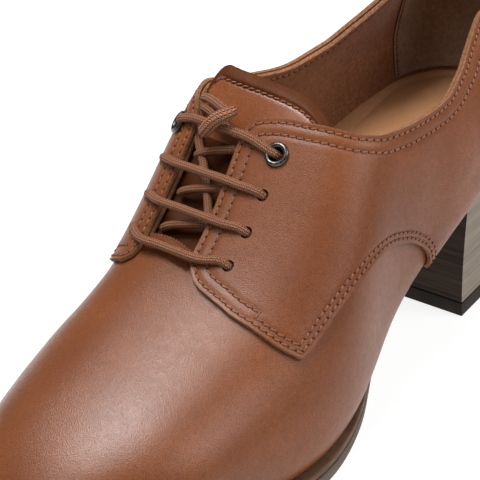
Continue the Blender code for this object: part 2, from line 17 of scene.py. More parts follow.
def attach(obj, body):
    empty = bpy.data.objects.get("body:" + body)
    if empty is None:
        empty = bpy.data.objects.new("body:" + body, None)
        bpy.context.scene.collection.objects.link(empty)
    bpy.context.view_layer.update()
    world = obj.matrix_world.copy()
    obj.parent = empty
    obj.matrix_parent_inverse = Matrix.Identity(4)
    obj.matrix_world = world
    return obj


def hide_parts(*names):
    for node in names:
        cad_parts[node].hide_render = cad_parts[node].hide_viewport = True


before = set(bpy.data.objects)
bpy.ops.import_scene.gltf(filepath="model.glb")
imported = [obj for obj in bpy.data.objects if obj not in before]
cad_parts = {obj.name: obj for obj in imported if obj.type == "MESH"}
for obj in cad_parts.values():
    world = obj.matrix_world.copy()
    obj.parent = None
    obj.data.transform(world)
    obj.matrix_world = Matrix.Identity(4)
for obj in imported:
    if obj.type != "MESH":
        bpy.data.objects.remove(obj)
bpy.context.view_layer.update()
MM = 0.001


# Studio
# A pale light table, three soft boxes over the shoe and a dim room round it, as for
# a plain product picture. The camera stands at the outer front and is rolled a little.
EYE = Vector((0.3025, -0.3636, 0.3202))
AZIMUTH = math.radians(41.2)
ELEVATION = math.radians(29.6)
ROLL = math.radians(-4.4)
LENS = 131.25
SENSOR = 36.0
ROOM_LIGHT = 0.12
TABLE_SIZE = 6.0
TABLE_GLOW = 0.85

back = Vector((math.sin(AZIMUTH) * math.cos(ELEVATION),
               -math.cos(AZIMUTH) * math.cos(ELEVATION), math.sin(ELEVATION)))
level = Vector((math.cos(AZIMUTH), math.sin(AZIMUTH), 0.0))
tilted = back.cross(level)
right = level * math.cos(ROLL) + tilted * math.sin(ROLL)
upright = tilted * math.cos(ROLL) - level * math.sin(ROLL)
turn = Matrix((right, upright, back)).transposed().to_4x4()
bpy.ops.object.camera_add()
camera = bpy.context.object
camera.name = "camera"
camera.matrix_world = Matrix.Translation(EYE) @ turn
camera.data.lens = LENS
camera.data.sensor_width = SENSOR
camera.data.clip_start = 0.01
bpy.context.scene.camera = camera
bpy.context.scene.view_settings.view_transform = "Standard"

room = bpy.data.worlds.new("dim_room")
room.use_nodes = True
surround = room.node_tree.nodes["Background"].inputs
surround["Color"].default_value = (1.0, 0.99, 0.98, 1.0)
surround["Strength"].default_value = ROOM_LIGHT
bpy.context.scene.world = room


def soft_box(name, place, target, size, power):
    """An area light that faces a point."""
    bpy.ops.object.light_add(type="AREA", location=place)
    made = bpy.context.object
    made.name = name
    made.data.shape = "RECTANGLE"
    made.data.size, made.data.size_y = size
    made.data.energy = power
    aim = Vector(target) - Vector(place)
    made.rotation_euler = aim.to_track_quat("-Z", "Y").to_euler()


soft_box("box_front", (-0.05, -0.34, 0.94), (0.0, -0.06, 0.04), (0.50, 0.50), 2.4)
soft_box("box_inner_side", (-0.22, -0.04, 0.94), (0.0, -0.07, 0.04), (0.33, 0.50), 9.0)
soft_box("box_outer_side", (0.85, 0.30, 0.80), (0.0, 0.0, 0.04), (0.70, 0.70), 7.5)

bpy.ops.mesh.primitive_plane_add(size=TABLE_SIZE)
floor = bpy.context.object
floor.name = "light_table"
table_white = bpy.data.materials.new("light_table")
table_white.use_nodes = True
shader = table_white.node_tree.nodes["Principled BSDF"]
for socket, value in (("Base Color", (0.30, 0.30, 0.30, 1.0)), ("Roughness", 0.9),
                      ("Emission Color", (1.0, 1.0, 1.0, 1.0)), ("Emission Strength", TABLE_GLOW)):
    shader.inputs[socket].default_value = value
floor.data.materials.append(table_white)


# Outsole
# A full-length leather sole cut to the last and stuck under the upper: a brown welt
# layer above, a grey-brown wear layer below, and a groove between them along the side.
SIDE_NAMES = {1: "lateral", -1: "medial"}
LENGTH = 240.0
CENTRE_STATION = 121.0
CENTRE_X = -3.5
HEEL_ROUND = 30.0
HEEL_POWER = 2.2
TOE_ROUND = 46.0
TOE_POWER = 2.3
TOE_TIP_HEIGHT = 8.0
HEEL_TUCK = 4.0
COLLAR_LEAN = 30.0
LEAN_START = 22.0
LEAN_SPAN = 40.0
LEAN_POWER = 1.7
LEAN_REACH = 70.0
WIDEST_FRACTION = 0.2
WIDEST_LIMIT = 0.75
FOOT_RISE = 0.83
WALL_RISE = 0.6
SECTION_COLUMNS = ("station", "axis", "feather", "lateral", "medial", "bulge", "roll",
                   "widest", "ridge", "ridge_x", "side", "outer_top", "inner_top")
SECTIONS = np.array([
    [0, 0.0, 59.0, 28.0, 27.0, 3.0, 0.70, 18.0, 122.0, 0.0, 0.45, 0.60, 0.60],
    [30, 0.0, 57.0, 28.0, 27.0, 3.4, 0.80, 18.0, 113.0, 0.0, 0.20, 0.50, 0.50],
    [60, -1.0, 51.0, 28.5, 25.5, 6.0, 1.30, 16.0, 112.0, -3.0, 0.40, 0.40, 0.40],
    [85, -3.0, 40.5, 31.0, 26.3, 5.4, 1.15, 16.0, 115.0, -7.0, 0.45, 0.70, 0.74],
    [110, -6.0, 26.5, 34.3, 29.3, 5.2, 1.10, 16.0, 104.0, -10.0, 0.59, 0.88, 1.06],
    [135, -5.6, 13.8, 40.6, 33.4, 4.6, 0.90, 14.0, 79.6, -10.0, 0.52, 0.90, 1.12],
    [160, -5.2, 7.5, 43.9, 38.2, 3.0, 0.75, 11.0, 58.6, -9.4, 0.51, 0.82, 0.87],
    [180, -5.6, 6.2, 41.2, 40.0, 2.4, 0.70, 10.0, 49.0, -7.9, 0.54, 0.77, 0.79],
    [205, -6.3, 7.0, 37.2, 36.5, 2.0, 0.70, 9.0, 41.2, -5.1, 0.58, 0.72, 0.72],
    [225, -8.0, 9.5, 32.1, 32.7, 1.8, 0.70, 9.0, 37.5, -2.5, 0.62, 0.68, 0.68],
    [240, -8.8, 12.5, 27.0, 30.5, 1.6, 0.70, 9.0, 34.4, 0.0, 0.62, 0.65, 0.65],
])
LEDGE_COLUMNS = ("station", "ledge", "thickness")
LEDGE = np.array([
    [0, 2.2, 5.0],
    [45, 2.2, 5.0],
    [62, 0.8, 4.4],
    [78, 0.0, 4.0],
    [108, 0.0, 4.0],
    [122, 0.8, 4.8],
    [140, 2.8, 6.2],
    [160, 3.2, 7.0],
    [205, 3.3, 7.0],
    [240, 3.4, 6.5],
])
SOLE_GAP = 0.3
GROOVE_DROP = 1.9
GROOVE_HEIGHT = 0.7
GROOVE_DEPTH = 0.6
EDGE_ROUND = 0.6


def natural_spline(knots, values, at):
    """Natural cubic spline through the values, evaluated at the given places."""
    count = len(knots)
    gaps = np.diff(knots)
    slopes = np.diff(values) / gaps
    system = np.eye(count)
    target = np.zeros(count)
    for i in range(1, count - 1):
        system[i, i - 1:i + 2] = gaps[i - 1], 2 * (gaps[i - 1] + gaps[i]), gaps[i]
        target[i] = 6 * (slopes[i] - slopes[i - 1])
    bend = np.linalg.solve(system, target)
    i = np.clip(np.searchsorted(knots, at) - 1, 0, count - 2)
    before = at - knots[i]
    after = knots[i + 1] - at
    start = bend[i] * (after ** 3 / gaps[i] - gaps[i] * after)
    end = bend[i + 1] * (before ** 3 / gaps[i] - gaps[i] * before)
    return values[i] + slopes[i] * before + (start + end) / 6


def eased(table, name, columns, station):
    """A table's column between its rows, with the slope kept from overshooting."""
    knots = table[:, 0]
    values = table[:, columns.index(name)]
    slopes = np.diff(values) / np.diff(knots)
    same_way = slopes[:-1] * slopes[1:] > 0
    safe = np.where(same_way, slopes[:-1] + slopes[1:], 1.0)
    middle = np.where(same_way, 2 * slopes[:-1] * slopes[1:] / safe, 0.0)
    tangent = np.concatenate([slopes[:1], middle, slopes[-1:]])
    station = np.clip(station, knots[0], knots[-1])
    i = np.clip(np.searchsorted(knots, station) - 1, 0, len(knots) - 2)
    gap = knots[i + 1] - knots[i]
    t = (station - knots[i]) / gap
    start = (1 + 2 * t) * (1 - t) ** 2 * values[i] + t * (1 - t) ** 2 * gap * tangent[i]
    end = t * t * (3 - 2 * t) * values[i + 1] + t * t * (t - 1) * gap * tangent[i + 1]
    return start + end


def section(name, station):
    """A column of the last's table at any station."""
    column = SECTIONS[:, SECTION_COLUMNS.index(name)]
    return natural_spline(SECTIONS[:, 0], column, np.asarray(station, float))


def end_rounding(station):
    """Share of the full width left at a station, for both ends and for the toe alone."""
    heel_end = np.clip(1 - station / HEEL_ROUND, 0, 1)
    toe_end = np.clip((station - LENGTH + TOE_ROUND) / TOE_ROUND, 0, 1)
    heel_share = (1 - heel_end ** HEEL_POWER) ** (1 / HEEL_POWER)
    toe_share = (1 - toe_end ** TOE_POWER) ** (1 / TOE_POWER)
    return heel_share * toe_share, toe_share


def bezier(start, first, second, end, t):
    """Cubic Bezier between two values."""
    u = 1 - t
    return u ** 3 * start + 3 * u * u * t * first + 3 * u * t * t * second + t ** 3 * end


def on_last(station, rise, side):
    """Point of the last in millimetres: rise 0 is the feather edge, 1 the ridge."""
    station, rise = np.broadcast_arrays(np.asarray(station, float), np.asarray(rise, float))
    share, toe_share = end_rounding(station)
    feather = section(SIDE_NAMES[side], station) * share
    widest = feather + section("bulge", station) * share
    crown = section("ridge_x", station) * share * side
    low = section("feather", station)
    tip = low + TOE_TIP_HEIGHT
    ridge = section("ridge", station)
    ridge = np.where(station > LENGTH - TOE_ROUND, tip + (ridge - tip) * toe_share, ridge)
    wall = np.minimum(section("widest", station), WIDEST_LIMIT * (ridge - low))
    waist = low + wall
    roll = section("roll", station)
    foot = low + FOOT_RISE * np.maximum(1 - roll, 0) * wall
    t = np.clip(rise / WIDEST_FRACTION, 0, 1)
    lower_x = bezier(feather, feather + roll * (widest - feather), widest, widest, t)
    lower_z = bezier(low, foot, low + WALL_RISE * wall, waist, t)
    t = np.clip((rise - WIDEST_FRACTION) / (1 - WIDEST_FRACTION), 0, 1)
    fullness = section("outer_top" if side > 0 else "inner_top", station)
    upper_x = bezier(widest, widest, crown + fullness * (widest - crown), crown, t)
    upper_z = bezier(waist, waist + section("side", station) * (ridge - waist), ridge, ridge, t)
    x = np.where(rise < WIDEST_FRACTION, lower_x, upper_x) * side + section("axis", station)
    z = np.where(rise < WIDEST_FRACTION, lower_z, upper_z)
    tuck = HEEL_TUCK * np.clip(1 - (z - low) / LEAN_START, 0, 1) ** 2
    lean = COLLAR_LEAN * np.clip((z - low - LEAN_START) / LEAN_SPAN, 0, 2) ** LEAN_POWER
    forward = station + (tuck + lean) * np.clip(1 - station / LEAN_REACH, 0, 1) ** 2
    return np.stack([x - CENTRE_X, CENTRE_STATION - forward, z], -1)


def stations_between(start, end, spacing, extra=()):
    """Stations along the last, closer together where its two ends turn."""
    turning = 1 - np.cos(np.linspace(0, math.pi / 2, 26))
    middle = np.arange(HEEL_ROUND, LENGTH - TOE_ROUND, spacing)
    ends = np.concatenate([HEEL_ROUND * turning, LENGTH - TOE_ROUND * turning])
    wanted = np.unique(np.round(np.concatenate([middle, ends, extra, [start, end]]), 3))
    wanted = wanted[(wanted >= start) & (wanted <= end)]
    return wanted[np.concatenate([[True], np.diff(wanted) > 0.02])]


def unit(vectors):
    return vectors / np.linalg.norm(vectors, axis=-1, keepdims=True)


def feather_outline(along, distance):
    """Closed outline of the feather edge in plan, moved outwards by a distance."""
    ring = np.concatenate([on_last(along, 0.0, 1)[:, :2], on_last(along, 0.0, -1)[::-1, :2]])
    seam = len(along)
    tangent = np.roll(ring, -1, axis=0) - np.roll(ring, 1, axis=0)
    tangent[[0, -1, seam - 1, seam]] = [(1, 0), (1, 0), (-1, 0), (-1, 0)]
    tangent = unit(tangent)
    normal = np.stack([-tangent[:, 1], tangent[:, 0]], -1)
    distance = np.broadcast_to(distance, seam)
    return ring + normal * np.concatenate([distance, distance[::-1]])[:, None]


def feather_height(ring):
    return section("feather", np.clip(CENTRE_STATION - ring[:, 1], 0, LENGTH))


def at_height(ring, height):
    return np.column_stack([ring, np.broadcast_to(height, len(ring))])


def pick(*pieces):
    """Select these pieces alone, and make the first one active."""
    bpy.ops.object.select_all(action="DESELECT")
    for piece in pieces:
        piece.select_set(True)
    if pieces:
        bpy.context.view_layer.objects.active = pieces[0]


def built_up(name, rings):
    """A solid raised ring by ring from its lowest outline and closed at both ends."""
    count = len(rings[0])
    pick()
    bpy.ops.mesh.primitive_circle_add(vertices=count, fill_type="NOTHING")
    made = bpy.context.object
    made.name = made.data.name = name
    for level_index, ring in enumerate(rings):
        if level_index:
            bpy.ops.object.mode_set(mode="EDIT")
            bpy.ops.mesh.extrude_edges_move()
            bpy.ops.object.mode_set(mode="OBJECT")
        for vertex, place in zip(made.data.vertices[level_index * count:], ring):
            vertex.co = place * MM
    bm = bmesh.new()
    bm.from_mesh(made.data)
    bm.verts.ensure_lookup_table()
    for first in (0, len(bm.verts) - count):
        loop = bm.verts[first:first + count]
        for i in range(count // 2 - 1):
            bm.faces.new([loop[i], loop[i + 1], loop[count - 2 - i], loop[count - 1 - i]])
    bmesh.ops.remove_doubles(bm, verts=bm.verts, dist=0.01 * MM)
    bmesh.ops.recalc_face_normals(bm, faces=bm.faces)
    bm.to_mesh(made.data)
    bm.free()
    return made


def smooth_by_angle(made, degrees):
    """Smooth shading that keeps the made edges crisp."""
    pick(made)
    bpy.ops.object.shade_smooth_by_angle(angle=math.radians(degrees))


def linear(red, green, blue):
    """A colour read as screen values from 0 to 255, as light."""
    share = np.array([red, green, blue]) / 255.0
    light = np.where(share <= 0.04045, share / 12.92, ((share + 0.055) / 1.055) ** 2.4)
    return (*light.tolist(), 1.0)


class Finish:
    """A node material: its shader, and short calls that add and join nodes."""

    def __init__(self, name, roughness, specular=0.5):
        self.made = bpy.data.materials.new(name)
        self.made.use_nodes = True
        self.nodes = self.made.node_tree.nodes
        self.shader = self.nodes["Principled BSDF"]
        self.set("Roughness", roughness)
        self.set("Specular IOR Level", specular)
        self.place = self.nodes.new("ShaderNodeTexCoord").outputs["Object"]

    def set(self, socket, value):
        self.shader.inputs[socket].default_value = value

    def join(self, output, to):
        self.made.node_tree.links.new(output, to)

    def node(self, kind, output, inputs, **settings):
        """Add a node: outputs of other nodes are joined to its inputs, and values are set."""
        made = self.nodes.new("ShaderNode" + kind)
        for name, value in settings.items():
            setattr(made, name, value)
        for socket, value in inputs.items():
            if isinstance(value, bpy.types.NodeSocket):
                self.join(value, made.inputs[socket])
            else:
                made.inputs[socket].default_value = value
        return made.outputs[output]

    def scaled(self, x, y, z):
        """Object coordinates stretched along the three axes."""
        return self.node("Mapping", "Vector", {"Scale": (x, y, z), "Vector": self.place})

    def noise(self, scale, detail=2.0, roughness=0.5, place=None):
        return self.node("TexNoise", "Fac", {"Scale": scale, "Detail": detail,
                                             "Roughness": roughness, "Vector": place or self.place})

    def cells(self, scale):
        return self.node("TexVoronoi", "Distance", {"Scale": scale, "Smoothness": 0.6,
                                                    "Vector": self.place}, feature="SMOOTH_F1")

    def math(self, operation, first, second):
        return self.node("Math", "Value", {0: first, 1: second}, operation=operation)

    def spread(self, value, low, high, to_low, to_high):
        """A value stretched from one range to another and kept inside it."""
        return self.node("MapRange", "Result", {"Value": value, "From Min": low, "From Max": high,
                                                "To Min": to_low, "To Max": to_high})

    def blend(self, share, first, second):
        return self.node("Mix", 2, {0: share, 6: first, 7: second}, data_type="RGBA")

    def mixed(self, value, low, high, first, second, most=1.0):
        """From one colour towards another as a value grows, up to a share of the second."""
        return self.blend(self.spread(value, low, high, 0.0, most), first, second)

    def colour(self, output):
        self.join(output, self.shader.inputs["Base Color"])

    def rough(self, output):
        self.join(output, self.shader.inputs["Roughness"])

    def bump(self, height, depth, below=None):
        """Relief of a depth in metres, over any relief that is there already."""
        inputs = {"Distance": depth, "Height": height}
        if below is not None:
            inputs["Normal"] = below
        relief = self.node("Bump", "Normal", inputs)
        self.join(relief, self.shader.inputs["Normal"])
        return relief


def sole_finish(name, light, dark, roughness):
    """Cut leather board, with fine streaks along the layers."""
    finish = Finish(name, roughness, 0.12)
    light, dark = linear(*light), linear(*dark)
    streak = finish.noise(1.0, 4.0, 0.6, finish.scaled(60, 60, 900))
    patch = finish.noise(45, 3.0)
    tone = finish.mixed(streak, 0.3, 0.7, dark, light)
    finish.colour(finish.mixed(patch, 0.35, 0.7, tone, dark, 0.35))
    finish.rough(finish.spread(patch, 0.3, 0.7, roughness - 0.06, roughness + 0.1))
    finish.bump(streak, 0.00006)
    return finish.made


along = stations_between(0, LENGTH, 2.5)
ledge = eased(LEDGE, "ledge", LEDGE_COLUMNS, along)
thickness = eased(LEDGE, "thickness", LEDGE_COLUMNS, along)
outer = feather_outline(along, ledge)
sole_top = feather_height(outer) - SOLE_GAP
sole_foot = np.maximum(feather_height(outer) - np.concatenate([thickness, thickness[::-1]]), 0.0)
groove_top = sole_top - GROOVE_DROP
groove_foot = groove_top - GROOVE_HEIGHT
WELT_DEPTH = SOLE_GAP + GROOVE_DROP + GROOVE_HEIGHT / 2
sole_levels = [(EDGE_ROUND * 2, sole_foot), (EDGE_ROUND, sole_foot),
               (EDGE_ROUND * 0.3, sole_foot + EDGE_ROUND * 0.3), (0.0, sole_foot + EDGE_ROUND),
               (0.0, (sole_foot + groove_foot) / 2), (0.05, groove_foot - 0.15),
               (GROOVE_DEPTH, groove_foot + 0.1), (GROOVE_DEPTH, groove_top - 0.1),
               (0.05, groove_top + 0.15), (0.0, groove_top + 0.5), (0.0, sole_top - EDGE_ROUND),
               (EDGE_ROUND * 0.3, sole_top - EDGE_ROUND * 0.3), (EDGE_ROUND, sole_top),
               (EDGE_ROUND * 2, sole_top)]
rings = [at_height(feather_outline(along, ledge - inset), height) for inset, height in sole_levels]
outsole = built_up("outsole_board", rings)
smooth_by_angle(outsole, 40)
outsole.data.materials.append(sole_finish("sole_wear_layer", (116, 103, 91), (86, 75, 65), 0.5))
outsole.data.materials.append(sole_finish("sole_welt_layer", (126, 98, 78), (88, 64, 49), 0.45))
for face in outsole.data.polygons:
    station = CENTRE_STATION - face.center.y / MM
    welt_foot = section("feather", np.clip(station, 0, LENGTH)) - WELT_DEPTH
    face.material_index = int(face.center.z / MM > welt_foot)
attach(outsole, "root")
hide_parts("outsole")


# Heel
# A block stacked from thin layers of leather board, dyed and waxed: pale at the sides,
# darker at the breast that faces the arch, partly a darker dye and partly painted shade
# of the arch over it. It is nailed under the sole.
HEEL_BREAST = 61.0
HEEL_LIFT = 5.5
HEEL_FLOOR_HALF = 25.0
HEEL_FLOOR_BACK = 9.0
HEEL_FLOOR_TAPER = 0.09
HEEL_FLOOR_POWER = 5.0
HEEL_TOP_POWER = 2.6
HEEL_TOP_INSET = 0.8
HEEL_SIDE_CURVE = 1.6
HEEL_BACK_CURVE = 1.3
HEEL_LEVELS = 26
HEEL_COLUMNS = 48


def heel_outline(half, heel_back, taper, power):
    """Outline of the heel in plan: straight breast, tapering sides, round back."""
    turning = np.sin(np.linspace(0, math.pi / 2, HEEL_COLUMNS))
    depth = turning * (HEEL_BREAST - heel_back)
    width = (half - taper * depth) * np.sqrt(1 - turning ** power)
    y = CENTRE_STATION - HEEL_BREAST + depth
    lateral = np.column_stack([width - CENTRE_X, y])
    medial = np.column_stack([-width - CENTRE_X, y])
    return np.concatenate([lateral, medial[::-1]])


def stack_finish(name, light, dark, roughness):
    """Layered board: uneven dark lines between thin layers, and streaks in each."""
    finish = Finish(name, roughness, 0.1)
    light, dark = linear(*light), linear(*dark)
    layer = finish.noise(1.0, 2.0, 0.5, finish.scaled(8, 8, 700))
    fibre = finish.noise(1.0, 3.0, 0.6, finish.scaled(90, 90, 1800))
    tone = finish.mixed(layer, 0.25, 0.7, dark, light)
    finish.colour(finish.mixed(fibre, 0.35, 0.7, tone, dark, 0.5))
    finish.rough(finish.spread(fibre, 0.3, 0.7, roughness - 0.05, roughness + 0.1))
    finish.bump(layer, 0.00009, finish.bump(fibre, 0.00005))
    return finish.made


heel_top_half = section("lateral", HEEL_BREAST) - HEEL_TOP_INSET
heel_top_back = HEEL_TUCK - HEEL_TOP_INSET
heel_floor = HEEL_LIFT + SOLE_GAP
rings = []
for t in np.linspace(0, 1, HEEL_LEVELS):
    ring = heel_outline(HEEL_FLOOR_HALF + (heel_top_half - HEEL_FLOOR_HALF) * t ** HEEL_SIDE_CURVE,
                        HEEL_FLOOR_BACK + (heel_top_back - HEEL_FLOOR_BACK) * t ** HEEL_BACK_CURVE,
                        HEEL_FLOOR_TAPER * (1 - t),
                        HEEL_FLOOR_POWER + (HEEL_TOP_POWER - HEEL_FLOOR_POWER) * t)
    top = feather_height(ring) - LEDGE[0, 2] - SOLE_GAP
    rings.append(at_height(ring, heel_floor + (top - heel_floor) * t))
heel = built_up("heel_stack_block", rings)
smooth_by_angle(heel, 35)
heel.data.materials.append(stack_finish("heel_stack_side", (146, 133, 119), (116, 104, 91), 0.42))
# the breast's darker copy is partly its dye and partly painted shade cast by the arch
heel.data.materials.append(stack_finish("heel_stack_breast_dye_and_shade", (68, 53, 42), (34, 25, 19), 0.5))
# faces turned towards the toe take the darker breast copy: dye and painted shade
for face in heel.data.polygons:
    face.material_index = int(face.normal.y < -0.7)
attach(heel, "root")
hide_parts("heel")


# Top lift
# A plate of dark rubber nailed under the heel block, flush with its sides.
LIFT_ROUND = 0.5
outline = heel_outline(HEEL_FLOOR_HALF, HEEL_FLOOR_BACK, HEEL_FLOOR_TAPER, HEEL_FLOOR_POWER)
middle = np.array([-CENTRE_X, CENTRE_STATION - (HEEL_BREAST + HEEL_FLOOR_BACK) / 2])
drawn_in = middle + (outline - middle) * (1 - LIFT_ROUND / HEEL_FLOOR_HALF)
lift = built_up("top_lift_plate", [at_height(drawn_in, 0.0), at_height(outline, LIFT_ROUND),
                                   at_height(outline, HEEL_LIFT - LIFT_ROUND / 2),
                                   at_height(drawn_in, HEEL_LIFT)])
smooth_by_angle(lift, 50)
lift_rubber = Finish("lift_rubber", 0.6, 0.1)
speck = lift_rubber.noise(900, 3.0)
scuff = lift_rubber.noise(60, 4.0, 0.6)
lift_rubber.colour(lift_rubber.mixed(scuff, 0.4, 0.75, linear(30, 23, 19), linear(50, 39, 31)))
lift_rubber.bump(speck, 0.00005)
lift.data.materials.append(lift_rubber.made)
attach(lift, "root")
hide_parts("top_lift")


# Insole
# A sock of light tan leather over a thin board, stuck down inside the shoe. Its rounded
# edge shows as a pressed line, with a margin of the same leather outside it.
INSOLE_THICKNESS = 2.2
INSOLE_INSET = 2.7
board_rings = [(0.0, 0.0), (0.0, INSOLE_THICKNESS - 0.7), (0.2, INSOLE_THICKNESS - 0.25),
               (0.8, INSOLE_THICKNESS), (8.0, INSOLE_THICKNESS)]
rings = []
for inset, height in board_rings:
    ring = feather_outline(along, -INSOLE_INSET - inset)
    rings.append(at_height(ring, feather_height(ring) + height))
insole = built_up("insole_sock", rings)
smooth_by_angle(insole, 60)
sock = Finish("insole_tan_leather", 0.62, 0.35)
patch = sock.noise(55, 4.0, 0.55)
pore = sock.cells(1500)
tone = sock.mixed(patch, 0.3, 0.72, linear(172, 120, 81), linear(188, 137, 96))
sock.colour(sock.mixed(pore, 0.2, 0.7, tone, linear(112, 74, 48), 0.15))
sock.bump(pore, 0.00004)
insole.data.materials.append(sock.made)
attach(insole, "root")
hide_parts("insole")


# Upper
# Smooth brown calf lasted to the foot's shape, with a suede lining behind it, left raw
# and pale at the cut edges. Soft folds show where it bends and is drawn by the laces.
WALL = 1.6
# Y in metres where the vamp's wax starts to thin out and where it has, towards the throat
RUBBED = (-0.084, -0.056)
OPENING_COLUMNS = ("station", "lateral", "medial")
OPENING = np.array([
    [0, 0.600, 0.600],
    [3, 0.620, 0.623],
    [8, 0.660, 0.670],
    [20, 0.701, 0.713],
    [35, 0.682, 0.688],
    [43, 0.638, 0.630],
    [50, 0.592, 0.572],
    [62, 0.520, 0.495],
    [74, 0.487, 0.485],
    [92, 0.515, 0.533],
    [104, 0.566, 0.606],
    [112, 0.655, 0.705],
    [118, 0.799, 0.780],
    [121, 0.900, 0.826],
    [123.5, 0.947, 0.856],
    [126, 0.959, 0.872],
    [130, 0.962, 0.885],
    [155.5, 0.954, 0.872],
    [158, 1.000, 1.000],
])
# Soft folds: side, station and rise of the two ends, width, and how far it rises
FOLDS = [
    (1, 70, 0.40, 84, 0.12, 8.0, 0.22),
    (1, 80, 0.44, 97, 0.16, 7.5, -0.22),
    (1, 92, 0.44, 108, 0.20, 8.0, 0.20),
    (1, 172, 0.42, 176, 0.85, 7.0, -0.25),
    (-1, 74, 0.40, 88, 0.12, 7.0, 0.35),
    (-1, 90, 0.44, 104, 0.16, 7.0, -0.35),
    (-1, 172, 0.40, 177, 0.85, 7.0, -0.30),
]


def opening(side, station):
    """Rise of the upper's edge at the collar and the throat."""
    return eased(OPENING, SIDE_NAMES[side], OPENING_COLUMNS, station)


def outward(station, rise, side):
    """Unit normal of the last, away from the foot."""
    step = 0.05
    station = np.clip(station, 2 * step, LENGTH - 2 * step)
    rise = np.asarray(rise, float)
    ahead = on_last(station + step, rise, side) - on_last(station - step, rise, side)
    higher = np.minimum(rise + 0.002, 1.0)
    lower = np.maximum(rise - 0.002, 0.0)
    up = on_last(station, higher, side) - on_last(station, lower, side)
    return unit(np.cross(up, ahead) * side)


def fold_height(station, rise, side):
    """How far the soft folds lift the leather off the last."""
    place = on_last(station, rise, side)
    height = np.zeros(place.shape[:-1])
    for fold_side, *ends, width, top in FOLDS:
        if fold_side != side:
            continue
        start, end = on_last(*ends[:2], side), on_last(*ends[2:], side)
        run = end - start
        t = np.clip(((place - start) @ run) / (run @ run), 0, 1)
        away = np.linalg.norm(place - start - t[..., None] * run, axis=-1)
        height += top * np.exp(-(away / width) ** 2) * np.sin(math.pi * t) ** 0.5
    return height


def lifted(station, rise, side, lift):
    """Point at a distance outside the lasted upper, folds and all."""
    station, rise = np.broadcast_arrays(np.asarray(station, float), np.asarray(rise, float))
    away = lift + fold_height(station, rise, side)
    return on_last(station, rise, side) + np.asarray(away)[..., None] * outward(station, rise, side)


def draped(name, places, flip):
    """A sheet of leather: a flat grid laid over the last point by point."""
    rows, columns = places.shape[:2]
    pick()
    bpy.ops.mesh.primitive_grid_add(x_subdivisions=rows - 1, y_subdivisions=columns - 1, size=1)
    made = bpy.context.object
    made.name = made.data.name = name
    flat = np.empty(len(made.data.vertices) * 3)
    made.data.vertices.foreach_get("co", flat)
    flat = flat.reshape(-1, 3) + 0.5
    i = np.rint(flat[:, 0] * (rows - 1)).astype(int)
    j = np.rint(flat[:, 1] * (columns - 1)).astype(int)
    made.data.vertices.foreach_set("co", (places[i, j] * MM).ravel())
    if flip:
        made.data.flip_normals()
    made.data.update()
    return made


def joined(name, sheets):
    """Sheets sewn into one: joined, and merged where their edges meet."""
    pick(*sheets)
    bpy.ops.object.join()
    made = bpy.context.object
    made.name = made.data.name = name
    bpy.ops.object.mode_set(mode="EDIT")
    bpy.ops.mesh.select_all(action="SELECT")
    bpy.ops.mesh.remove_doubles(threshold=0.02 * MM)
    bpy.ops.object.mode_set(mode="OBJECT")
    return made


def walled(made, finishes, wall, offset, edge_round):
    """Give a sheet its face, lining and edge finishes, and a wall with eased cut edges.

    The wall goes inwards for an offset of -1 and outwards for 1."""
    pick(made)
    for finish in finishes:
        made.data.materials.append(finish)
    solid = made.modifiers.new("wall", "SOLIDIFY")
    solid.thickness = wall * MM
    solid.offset = offset
    solid.use_quality_normals = True
    solid.material_offset = 1
    solid.material_offset_rim = 2
    bevel = made.modifiers.new("eased_edge", "BEVEL")
    bevel.width = edge_round * MM
    bevel.segments = 2
    bevel.limit_method = "ANGLE"
    bevel.angle_limit = math.radians(50)
    for modifier in list(made.modifiers):
        bpy.ops.object.modifier_apply(modifier=modifier.name)
    smooth_by_angle(made, 60)


def calf_finish(name, tone=1.0, shine=0.46, rubbed=None):
    """Aniline calf: cloudy brown, a fine pebbled grain and a coat of wax, rubbed thin or not."""
    finish = Finish(name, 0.4, 0.6 * shine)
    cloud = finish.noise(24, 3.0, 0.55)
    mottle = finish.noise(420, 4.0, 0.65)
    pebble = finish.cells(3000)
    fine = finish.noise(2600, 2.0)
    pale, deep, pore = (tuple(channel * tone for channel in linear(*colour)[:3]) + (1.0,)
                        for colour in ((145, 85, 49), (120, 66, 36), (78, 40, 21)))
    brown = finish.mixed(cloud, 0.3, 0.7, deep, pale)
    brown = finish.mixed(mottle, 0.3, 0.75, brown, pore, 0.3)
    finish.colour(finish.mixed(pebble, 0.25, 0.7, brown, pore, 0.5))
    duller = 0.3 * (0.5 - shine)
    finish.rough(finish.spread(mottle, 0.25, 0.75, 0.27 + duller, 0.39 + duller))
    grain = finish.bump(pebble, 0.00006, finish.bump(fine, 0.00003))
    wax = 0.68 * shine
    finish.join(grain, finish.shader.inputs["Coat Normal"])
    finish.set("Coat Weight", wax)
    finish.set("Coat Roughness", 0.25)
    if rubbed:
        towards_heel = finish.node("SeparateXYZ", "Y", {0: finish.place})
        thinned = finish.spread(towards_heel, *rubbed, wax, 0.12 * shine)
        finish.join(thinned, finish.shader.inputs["Coat Weight"])
    return finish.made


def suede_finish(name, light, dark):
    """Napped lining: a soft mottled pile with no shine."""
    finish = Finish(name, 0.95, 0.15)
    light, dark = linear(*light), linear(*dark)
    pile = finish.noise(700, 5.0, 0.7)
    brushed = finish.noise(90, 4.0, 0.6)
    tone = finish.mixed(pile, 0.3, 0.7, dark, light)
    finish.colour(finish.mixed(brushed, 0.35, 0.7, tone, dark, 0.5))
    finish.bump(pile, 0.0003)
    finish.set("Sheen Weight", 0.1)
    finish.set("Sheen Roughness", 0.5)
    return finish.made


calf = calf_finish("upper_calf", rubbed=RUBBED)
lining = suede_finish("lining_suede", (158, 105, 71), (113, 71, 46))
